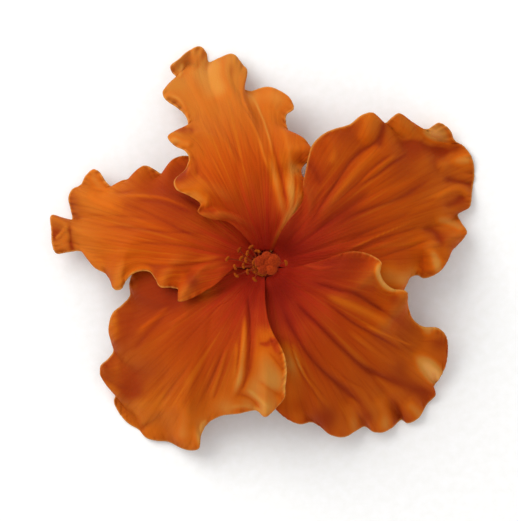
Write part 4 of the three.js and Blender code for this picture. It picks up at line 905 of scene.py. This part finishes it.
# ---------------------------------------------------------------- column and pistil
# The column leans and bends a little on its way up. Shares run from its foot to its top.
COLUMN_PATH = smooth_line([
    (0, 0, 9.4), (0, 0, 18), (-1.1, -0.3, 30), (-2.3, -0.7, 42), (-2, -0.5, 52), (-0.4, 0.1, 60),
    (0.6, 0.2, 65),
], 40)
COLUMN_WALKED = np.insert(np.cumsum(np.linalg.norm(np.diff(COLUMN_PATH, axis=0), axis=1)), 0, 0)
TUBE_RADIUS, TUBE_FOOT, TUBE_FROM, TUBE_TO, FOOT_LENGTH = 1.7, 4.0, 0.005, 0.93, 0.075
TUBE_SLIMS, SLIM_FROM, SLIM_GROWS = 0.22, 0.3, 0.6
MOUTH_SLIMS, MOUTH_FROM, MOUTH_GROWS = 0.45, 0.9, 0.04
TUBE_RINGS, TUBE_SIDES, COLUMN_SEED = 90, 28, 7
# Stamens that reach out beside the stigma: the tip of each, and how far up the column it leaves.
LONG_STAMENS = [
    ((-8.9, 4.9, 50), 0.62), ((-4.9, 5.8, 56), 0.74), ((-2.6, 4.4, 60), 0.84), ((-6.1, 3.7, 58), 0.78),
    ((-3.9, 0.7, 62), 0.88), ((-10.3, -1.1, 54), 0.7), ((-9.9, -3.9, 50), 0.62),
    ((-3.6, -5.3, 58), 0.8), ((-13.0, 1.8, 47), 0.55), ((7.2, 0.4, 50), 0.62), ((-7.4, -0.6, 59), 0.82),
    ((-6.0, -2.6, 60), 0.85), ((-6.6, 1.4, 60), 0.86), ((-8.2, 2.0, 56), 0.75),
]
# The others stand in a spiral, and reach farther out on the side that the column leans away from.
SHORT_STAMENS, SHORT_FROM, SHORT_SPAN, SHORT_REACH, SHORT_RISE = 46, 0.42, 0.5, (2.2, 3.0), 0.6
SPIRAL_STEP, SPIRAL_BIAS, SPIRAL_STRAY = math.radians(137.5), 0.9, 0.5
FILAMENT_ROOT, FILAMENT_RADII, FILAMENT_PALENESS = 1.3, (0.3, 0.17), 0.35
FILAMENT_RINGS, FILAMENT_SIDES = 7, 6
ELBOW, ELBOW_STRAY = (0.6, 0.6, 0.35), 0.4       # how far along it bends, and by how much it strays
LOBE_RADII, LOBE_APART, LOBE_RAISED, LOBE_TURN = (0.5, 0.72, 0.5), 0.38, 0.2, 0.35
ANTHER_STRAY, ANTHER_GRAIN, ANTHER_PALENESS = 0.6, 0.07, (-0.1, 0.15)
LOBE_SIDES, LOBE_RINGS = 12, 8

STYLE_RADIUS, OVARY_RADIUS, STYLE_FROM, STYLE_PALENESS = 0.55, 2.65, 0.004, -0.1
STYLE_RINGS, STYLE_SIDES, PISTIL_SEED = 100, 16, 11
STIGMA_TURN, STIGMA_REACH, STIGMA_RISE = 20, 2.2, 3.6
BRANCH_RADIUS, BRANCH_SINK, BRANCH_OUT, BRANCH_UP = 0.45, 0.6, 0.45, 0.35
BRANCH_RINGS, BRANCH_SIDES = 8, 10
PAD_RADII, PAD_SIDES, PAD_RINGS = np.array((2.05, 2.05, 1.476)), 40, 22
PAD_SIZES, PAD_GRAIN, PAD_PALENESS = (1.24, 0.92, 1.0, 0.94, 1.08), 0.035, (-0.1, 0.1)
MIDDLE_PAD_SIZE, MIDDLE_PAD_PLACE, MIDDLE_PAD_GRAIN = 0.8, (0.1, 0, 0.1), 0.045


def column_at(share):
    """The place on the column's middle line at a share of its length."""
    walked = share * COLUMN_WALKED[-1]
    return np.array([np.interp(walked, COLUMN_WALKED, COLUMN_PATH[:, k]) for k in range(3)])


def footed(narrow, foot, share):
    """The radius at a share of the column of something narrow that widens at its foot."""
    return between(narrow, foot, np.exp(-((share / FOOT_LENGTH) ** 2)))


def stamen(leaves, tip, draw):
    """A filament from the tube's wall to its tip, and the two-lobed anther that it carries there."""
    root, tip = column_at(leaves), np.asarray(tip, float)
    out = (tip - root) * (1, 1, 0)
    out /= np.linalg.norm(out) + TINY
    start = root + out * FILAMENT_ROOT
    stray = (draw.uniform(-ELBOW_STRAY, ELBOW_STRAY), draw.uniform(-ELBOW_STRAY, ELBOW_STRAY), 0)
    line = smooth_line([start, start + (tip - start) * ELBOW + stray, tip], FILAMENT_RINGS)
    radii = np.linspace(*FILAMENT_RADII, len(line))
    filament = tube(line, radii, FILAMENT_SIDES, paleness=FILAMENT_PALENESS)
    turn = math.atan2(out[1], out[0]) + draw.uniform(-ANTHER_STRAY, ANTHER_STRAY)
    across = np.array((-math.sin(turn), math.cos(turn), 0))
    lobes = []
    for side in (-1, 1):
        centre = tip + side * across * LOBE_APART + (0, 0, LOBE_RAISED)
        shape = (centre, LOBE_RADII, LOBE_SIDES, LOBE_RINGS, turn + side * LOBE_TURN, ANTHER_GRAIN)
        lobes.append(ball(*shape, draw, paleness=draw.uniform(*ANTHER_PALENESS)))
    return filament, lobes


def make_column():
    """The tube of grown-together filaments round the style, narrower upwards and at its mouth, with
    the free ends of the filaments and their anthers."""
    draw = random.Random(COLUMN_SEED)
    share = np.linspace(TUBE_FROM, TUBE_TO, TUBE_RINGS)
    path = np.array([column_at(s) for s in share])
    radii = footed(TUBE_RADIUS, TUBE_FOOT, share)
    radii *= 1 - TUBE_SLIMS * np.clip((share - SLIM_FROM) / SLIM_GROWS, 0, 1)
    radii *= 1 - MOUTH_SLIMS * np.clip((share - MOUTH_FROM) / MOUTH_GROWS, 0, 1) ** 2
    stamens = [stamen(leaves, tip, draw) for tip, leaves in LONG_STAMENS]
    for i in range(SHORT_STAMENS):
        leaves = SHORT_FROM + SHORT_SPAN * (i + SPIRAL_STRAY * draw.random()) / SHORT_STAMENS
        azimuth = i * SPIRAL_STEP
        reach = draw.uniform(*SHORT_REACH) + SPIRAL_BIAS * math.cos(azimuth)
        step = (reach * math.cos(azimuth), reach * math.sin(azimuth), SHORT_RISE * reach)
        stamens.append(stamen(leaves, column_at(leaves) + step, draw))
    filaments = [filament for filament, lobes in stamens]
    anthers = [lobe for filament, lobes in stamens for lobe in lobes]

    # Skin of living filaments under a thin wax: an even deep red with next to no shine. Its cells are
    # some 0.05 mm wide, too fine to show, so the mottling is drawn at 0.6 mm.
    flesh = grained_material("waxy_red_staminal_tube", "#741a0c", "#8e2c0c", 0.6, 0.6, 0.06, 0.08)
    # Burst pollen sacs under a coat of loose grains: matt, granular ochre. The grains are 0.15 mm
    # wide, too fine to show, and are drawn at 0.35 mm.
    pollen = grained_material("dusty_golden_pollen", "#7c2c06", "#a04a08", 0.35, 0.9, 0.12, 0.05)
    parts = [tube(path, radii, TUBE_SIDES, paleness=0.0)] + filaments
    make_piece("staminal_tube_and_filaments", parts, flesh, "staminal_column")
    make_piece("anthers", anthers, pollen, "staminal_column")


def make_pistil():
    """The ovary and the style inside the tube, and five branches that end in pads above it, with a
    smaller pad between them."""
    draw = random.Random(PISTIL_SEED)
    share = np.linspace(STYLE_FROM, 1, STYLE_RINGS)
    path = np.array([column_at(s) for s in share])
    radii = footed(STYLE_RADIUS, OVARY_RADIUS, share)
    stalks = [tube(path, radii, STYLE_SIDES, paleness=STYLE_PALENESS)]
    pads = []
    fork, rise = column_at(1.0), np.array((0, 0, STIGMA_RISE))
    for i, size in enumerate(PAD_SIZES):
        turn = math.radians(STIGMA_TURN) + TAU * i / len(PAD_SIZES)
        reach = np.array((math.cos(turn), math.sin(turn), 0)) * STIGMA_REACH
        elbow = fork + BRANCH_OUT * reach + BRANCH_UP * rise
        tip = fork + reach + rise
        line = smooth_line([fork - (0, 0, BRANCH_SINK), elbow, tip], BRANCH_RINGS)
        stalks.append(tube(line, BRANCH_RADIUS, BRANCH_SIDES, paleness=0.0))
        shape = (tip, PAD_RADII * size, PAD_SIDES, PAD_RINGS, turn, PAD_GRAIN)
        pads.append(ball(*shape, draw, paleness=draw.uniform(*PAD_PALENESS)))
    middle, radii = fork + rise + MIDDLE_PAD_PLACE, PAD_RADII * MIDDLE_PAD_SIZE
    shape = (middle, radii, PAD_SIDES, PAD_RINGS, 0, MIDDLE_PAD_GRAIN)
    pads.append(ball(*shape, draw, paleness=0.0))

    # Smooth skin under a thin wax, grown long and straight: plain red with a faint narrow highlight.
    # Its cells, 0.05 mm wide, are drawn at 0.8 mm.
    smooth = grained_material("waxy_red_style", "#7c1a0c", "#942a0c", 0.8, 0.5, 0.05)
    # A pile of sticky papillae 0.1 mm long: matt and soft like velvet, mottled darker where the nap lies
    # lower, as painted shade between its tips. It is too fine to show and is drawn as a nap of 0.5 mm.
    velvet = grained_material("velvety_stigma_pads", "#7c220a", "#a83a0e", 0.5, 0.9, 0.2, 0.05)
    make_piece("style_and_ovary", stalks, smooth, "pistil")
    make_piece("stigma_pads", pads, velvet, "pistil")


make_column()
make_pistil()


# ---------------------------------------------------------------- calyx, epicalyx, pedicel
HAIR_RADIUS, HAIR_PALENESS, HAIR_LEAN, HAIR_SHORTEST = 0.03, 0.35, 0.45, 0.6
HAIR_SIDE = (0.3, 0.5, 0.8)                      # a direction that no hair grows in
CALYX_FOOT, CALYX_SINUS, CALYX_TIP, CALYX_THICKNESS, CALYX_CLEARANCE = 5.7, 10.5, 17.5, 0.8, 1.1
CALYX_LOBES, CALYX_ROWS, CALYX_PER_LOBE, LOBE_BULGE = 5, 30, 36, 0.85
CALYX_RIBS, RIB_WIDTH = ((0.5, 0.35), (0.27, 0.22), (0.73, 0.22), (0.0, 0.3), (1.0, 0.3)), 0.035
CALYX_THINS, RIBS_FADE, SLOPE_STEP = 0.5, 0.6, 0.1
CALYX_PALENESS, RIB_PALENESS, NERVE_PALENESS = (-0.15, 0.15), 0.5, 0.06
NERVES, NERVE_SWAY = 9, 2                        # fine nerves in a lobe, and how they lean upwards
CALYX_HAIRS, CALYX_HAIR_LENGTH, CALYX_SEED = 2600, 0.7, 3
RING_PROFILE = [(2.7, 4.25), (4.2, 4.2), (5.2, 4.6), (5.5, 5.1), (5.3, 5.6), (4.7, 5.9)]
RING_SIDES, BRACTS, BRACT_TURN, BRACT_RADIUS = 72, 7, 15, 0.8
BRACT_SLIMS, BRACT_END, BRACT_POINT, BRACT_RINGS, BRACT_SIDES = 0.55, 1.02, 8, 14, 14
BRACT_PALENESS, BRACT_HAIRS, BRACT_HAIR_LENGTH, BRACT_SEED = 0.1, 170, 0.6, 4
BRACT_LINE = [(4.8, 4.8), (9.495, 7.8), (14.5, 13.4)]    # (radius, height) from its foot to its tip
STALK_OUTLINE = [(1.9, 1.0), (1.85, 3), (2.6, 4.2), (5.0, 6.4), (5.55, 7.4), (5.6, 9.3)]
CUT_OUTLINE = [(0.02, 1.05), (1.6, 1.02)]        # the cut face below, from the axis to its edge
STALK_RINGS, STALK_SIDES, STALK_HAIRS, STALK_HAIR_LENGTH, STALK_SEED = 8, 64, 700, 0.5, 5
CUT_FACE, BLUSH_FROM, STALK_TOP = 1.04, 9.0, 9.3   # heights: no hairs below, and crimson above


def calyx_height(radius):
    """Height of the calyx, a clearance below the petals that lie lowest."""
    return trumpet_height(radius - CALYX_CLEARANCE) - overlap_lift(radius) - CALYX_CLEARANCE


def down(part, count, length, draw):
    """Fine hairs that stand on a closed part's outside: slim three-sided spikes, each leaning its own
    way. Real ones are 0.02 mm thick, too fine to show, and these are three times as thick."""
    points, faces, reads = part
    corners = points[np.array([face[:3] for face in faces])]
    across = np.cross(corners[:, 1] - corners[:, 0], corners[:, 2] - corners[:, 0])
    outside = np.sign(np.einsum("ij,ij->", corners[:, 0] - points.mean(0), across))
    area = np.linalg.norm(across, axis=1)
    chosen = draw.choice(len(faces), count, p=area / area.sum())
    normal = across[chosen] / area[chosen][:, None] * outside
    one, other = draw.uniform(0, 1, (2, count, 1))
    beyond = one + other > 1
    one, other = np.where(beyond, 1 - one, one), np.where(beyond, 1 - other, other)
    start, left, right = corners[chosen].transpose(1, 0, 2)
    root = start + one * (left - start) + other * (right - start) - normal * HAIR_RADIUS
    stands = normal + draw.uniform(-HAIR_LEAN, HAIR_LEAN, (count, 3))
    tip = root + stands * length * draw.uniform(HAIR_SHORTEST, 1, (count, 1))
    side = np.cross(normal, HAIR_SIDE)
    side /= np.linalg.norm(side, axis=1, keepdims=True)
    beside = np.cross(normal, side)
    turns = [TAU * k / 3 for k in range(3)]
    foot = [root + HAIR_RADIUS * (math.cos(turn) * side + math.sin(turn) * beside) for turn in turns]
    hairs = np.stack([*foot, tip], 1).reshape(-1, 3)
    sides = ((0, 1, 3), (1, 2, 3), (2, 0, 3), (2, 1, 0))
    spikes = [tuple(4 * i + corner for corner in face) for i in range(count) for face in sides]
    return hairs, spikes, {**dict.fromkeys(reads, 0.0), "paleness": HAIR_PALENESS}


def make_calyx():
    """A cup with five pointed lobes, each with a raised midrib and two side ribs outside."""
    columns = CALYX_LOBES * CALYX_PER_LOBE
    column, row = np.meshgrid(np.arange(columns), np.arange(CALYX_ROWS + 1))
    up, in_lobe = row / CALYX_ROWS, (column % CALYX_PER_LOBE) / CALYX_PER_LOBE
    rim = between(CALYX_SINUS, CALYX_TIP, (1 - np.abs(2 * in_lobe - 1)) ** LOBE_BULGE)
    radius = between(CALYX_FOOT, rim, up)
    turn = np.radians(FIRST_AZIMUTH + 360 * column / columns)
    slope = calyx_height(radius + SLOPE_STEP) - calyx_height(radius - SLOPE_STEP)
    slope /= 2 * SLOPE_STEP
    normal = np.stack([-slope * np.cos(turn), -slope * np.sin(turn), np.ones_like(slope)], -1)
    normal /= np.linalg.norm(normal, axis=-1, keepdims=True)
    place = np.stack([radius * np.cos(turn), radius * np.sin(turn), calyx_height(radius)], -1)
    ribs = sum(high * np.exp(-(((in_lobe - at) / RIB_WIDTH) ** 2)) for at, high in CALYX_RIBS)
    half = CALYX_THICKNESS * (1 - CALYX_THINS * up ** 3) / 2
    inner = place + normal * half[..., None]
    outer = place - normal * (half + ribs * (1 - RIBS_FADE * up))[..., None]
    points = np.concatenate([inner.reshape(-1, 3), outer.reshape(-1, 3)])

    below = column.size
    lining = bands(CALYX_ROWS + 1, columns)
    skin = [tuple(below + corner for corner in face) for face in lining]
    rims = []
    for k in range(columns):
        foot, lip = (k, (k + 1) % columns), (below - columns + k, below - columns + (k + 1) % columns)
        rims.append((foot[0], foot[1], below + foot[1], below + foot[0]))
        rims.append((lip[1], lip[0], below + lip[0], below + lip[1]))
    paleness = between(*CALYX_PALENESS, up) + RIB_PALENESS * ribs
    paleness += NERVE_PALENESS * np.cos(TAU * NERVES * in_lobe + NERVE_SWAY * up)
    reads = {"paleness": np.tile(paleness.ravel(), 2), "blush": np.repeat([1.0, 0.0], below)}
    cup = (points, [face[::-1] for face in lining] + skin + rims, reads)
    draw = np.random.default_rng(CALYX_SEED)
    hairs = down((points, skin, reads), CALYX_HAIRS, CALYX_HAIR_LENGTH, draw)
    # Leathery green sepal grown with ribs and a coat of down: matt, paler on the ribs, with a soft
    # bright edge where the down catches the light. Its cells, 0.05 mm, are drawn at 0.5 mm.
    green = grained_material("downy_green_calyx", "#43601f", "#7f9a4c", 0.5, 0.6, 0.1, sheen=0.2)
    make_piece("ribbed_calyx", [cup, hairs], green, "calyx")


def make_epicalyx():
    """A ring of narrow pointed bracts that curve up and out."""
    bracts = []
    for i in range(BRACTS):
        azimuth = BRACT_TURN + 360 * i / BRACTS
        places = [(*polar(radius, azimuth), height) for radius, height in BRACT_LINE]
        line = smooth_line(places, BRACT_RINGS)
        share = np.linspace(0, 1, len(line))
        radii = BRACT_RADIUS * (1 - BRACT_SLIMS * share ** 2)
        radii *= np.sqrt(np.clip((BRACT_END - share) * BRACT_POINT, 0, 1))
        bracts.append(tube(line, radii, BRACT_SIDES, paleness=BRACT_PALENESS, blush=0.0))
    draw = np.random.default_rng(BRACT_SEED)
    hairs = [down(bract, BRACT_HAIRS, BRACT_HAIR_LENGTH, draw) for bract in bracts]
    # Young leaf tissue with a coat of down: a darker, duller green than the calyx, with the same
    # bright edge. Its cells, 0.05 mm, are drawn at 0.5 mm.
    green = grained_material("downy_green_bract", "#35501c", "#6c8a3c", 0.5, 0.62, 0.1, sheen=0.2)
    parts = [lathe(RING_PROFILE, RING_SIDES)] + bracts + hairs
    make_piece("epicalyx_bracts", parts, green, "epicalyx")


def make_pedicel():
    """The cut stalk and the receptacle that it widens into: a rounded profile, freshly cut below."""
    outline = [tuple(point) for point in smooth_line(STALK_OUTLINE, STALK_RINGS)]
    stalk = lathe(CUT_OUTLINE + outline + [(0.02, STALK_TOP)], STALK_SIDES, BLUSH_FROM)
    points, faces, reads = stalk
    side = (points, [face for face in faces if points[list(face), 2].min() > CUT_FACE], reads)
    draw = np.random.default_rng(STALK_SEED)
    hairs = down(side, STALK_HAIRS, STALK_HAIR_LENGTH, draw)
    # Green stalk skin with a coat of down, cut across below: matt, and a little yellower than the
    # bracts. Its cells, 0.05 mm, are drawn at 0.5 mm.
    green = grained_material("downy_green_stalk", "#4c6228", "#82944a", 0.5, 0.6, 0.1, sheen=0.2)
    make_piece("cut_pedicel", [stalk, hairs], green, "pedicel")


make_calyx()
make_epicalyx()
make_pedicel()


# ---------------------------------------------------------------- stage
FLOOR_REACH, ROOM_LIGHT = 3.0, 0.74              # metres, and the strength of the white room
LAMP_TOWARD, LAMP_AWAY, LAMP_SIZE, LAMP_WATTS = (-0.62, 0.55, 0.75), 1.1, 1.0, 8.5
LENS, VIEW_HEIGHT = 300, 182.35                  # mm of focal length, and mm from top to bottom
VIEW_MIDDLE = (-2.1, 1.2, 20)                    # mm from the bloom's axis and above the floor


def make_stage():
    """A plain pale floor, soft light from the upper left, and a camera that looks straight down."""
    scene = bpy.context.scene
    scene.view_settings.view_transform = "Standard"

    corners = [(x * FLOOR_REACH, y * FLOOR_REACH, 0) for x, y in ((-1, -1), (1, -1), (1, 1), (-1, 1))]
    mesh = bpy.data.meshes.new("floor")
    mesh.from_pydata(corners, [], [(0, 1, 2, 3)])
    # Pressed white card: flat, pale and without shine, so that it shows soft shadows. Its fibres, a
    # few hundredths of a mm thick, are too fine to show and are drawn as a faint mottling of 3 mm.
    mesh.materials.append(grained_material("matt_white_card", "#fafaf8", "#ffffff", 3, 0.9, 0.0))
    floor = bpy.data.objects.new("floor", mesh)
    scene.collection.objects.link(floor)

    world = bpy.data.worlds.new("soft_room")
    world.use_nodes = True
    world.node_tree.nodes["Background"].inputs["Color"].default_value = linear("#ffffff")
    world.node_tree.nodes["Background"].inputs["Strength"].default_value = ROOM_LIGHT
    scene.world = world

    light = bpy.data.lights.new("soft_box", "AREA")
    light.shape = "DISK"
    light.size = LAMP_SIZE
    light.energy = LAMP_WATTS
    lamp = bpy.data.objects.new("soft_box", light)
    toward = Vector(LAMP_TOWARD).normalized()
    lamp.location = toward * LAMP_AWAY
    lamp.rotation_euler = toward.to_track_quat("Z", "Y").to_euler()
    scene.collection.objects.link(lamp)

    lens = bpy.data.cameras.new("camera")
    lens.lens = LENS
    eye = bpy.data.objects.new("camera", lens)
    x, y, z = VIEW_MIDDLE
    away = LENS * VIEW_HEIGHT / lens.sensor_width
    eye.location = (AXIS.x + x * MM, AXIS.y + y * MM, (z + away) * MM)
    scene.collection.objects.link(eye)
    scene.camera = eye


make_stage()
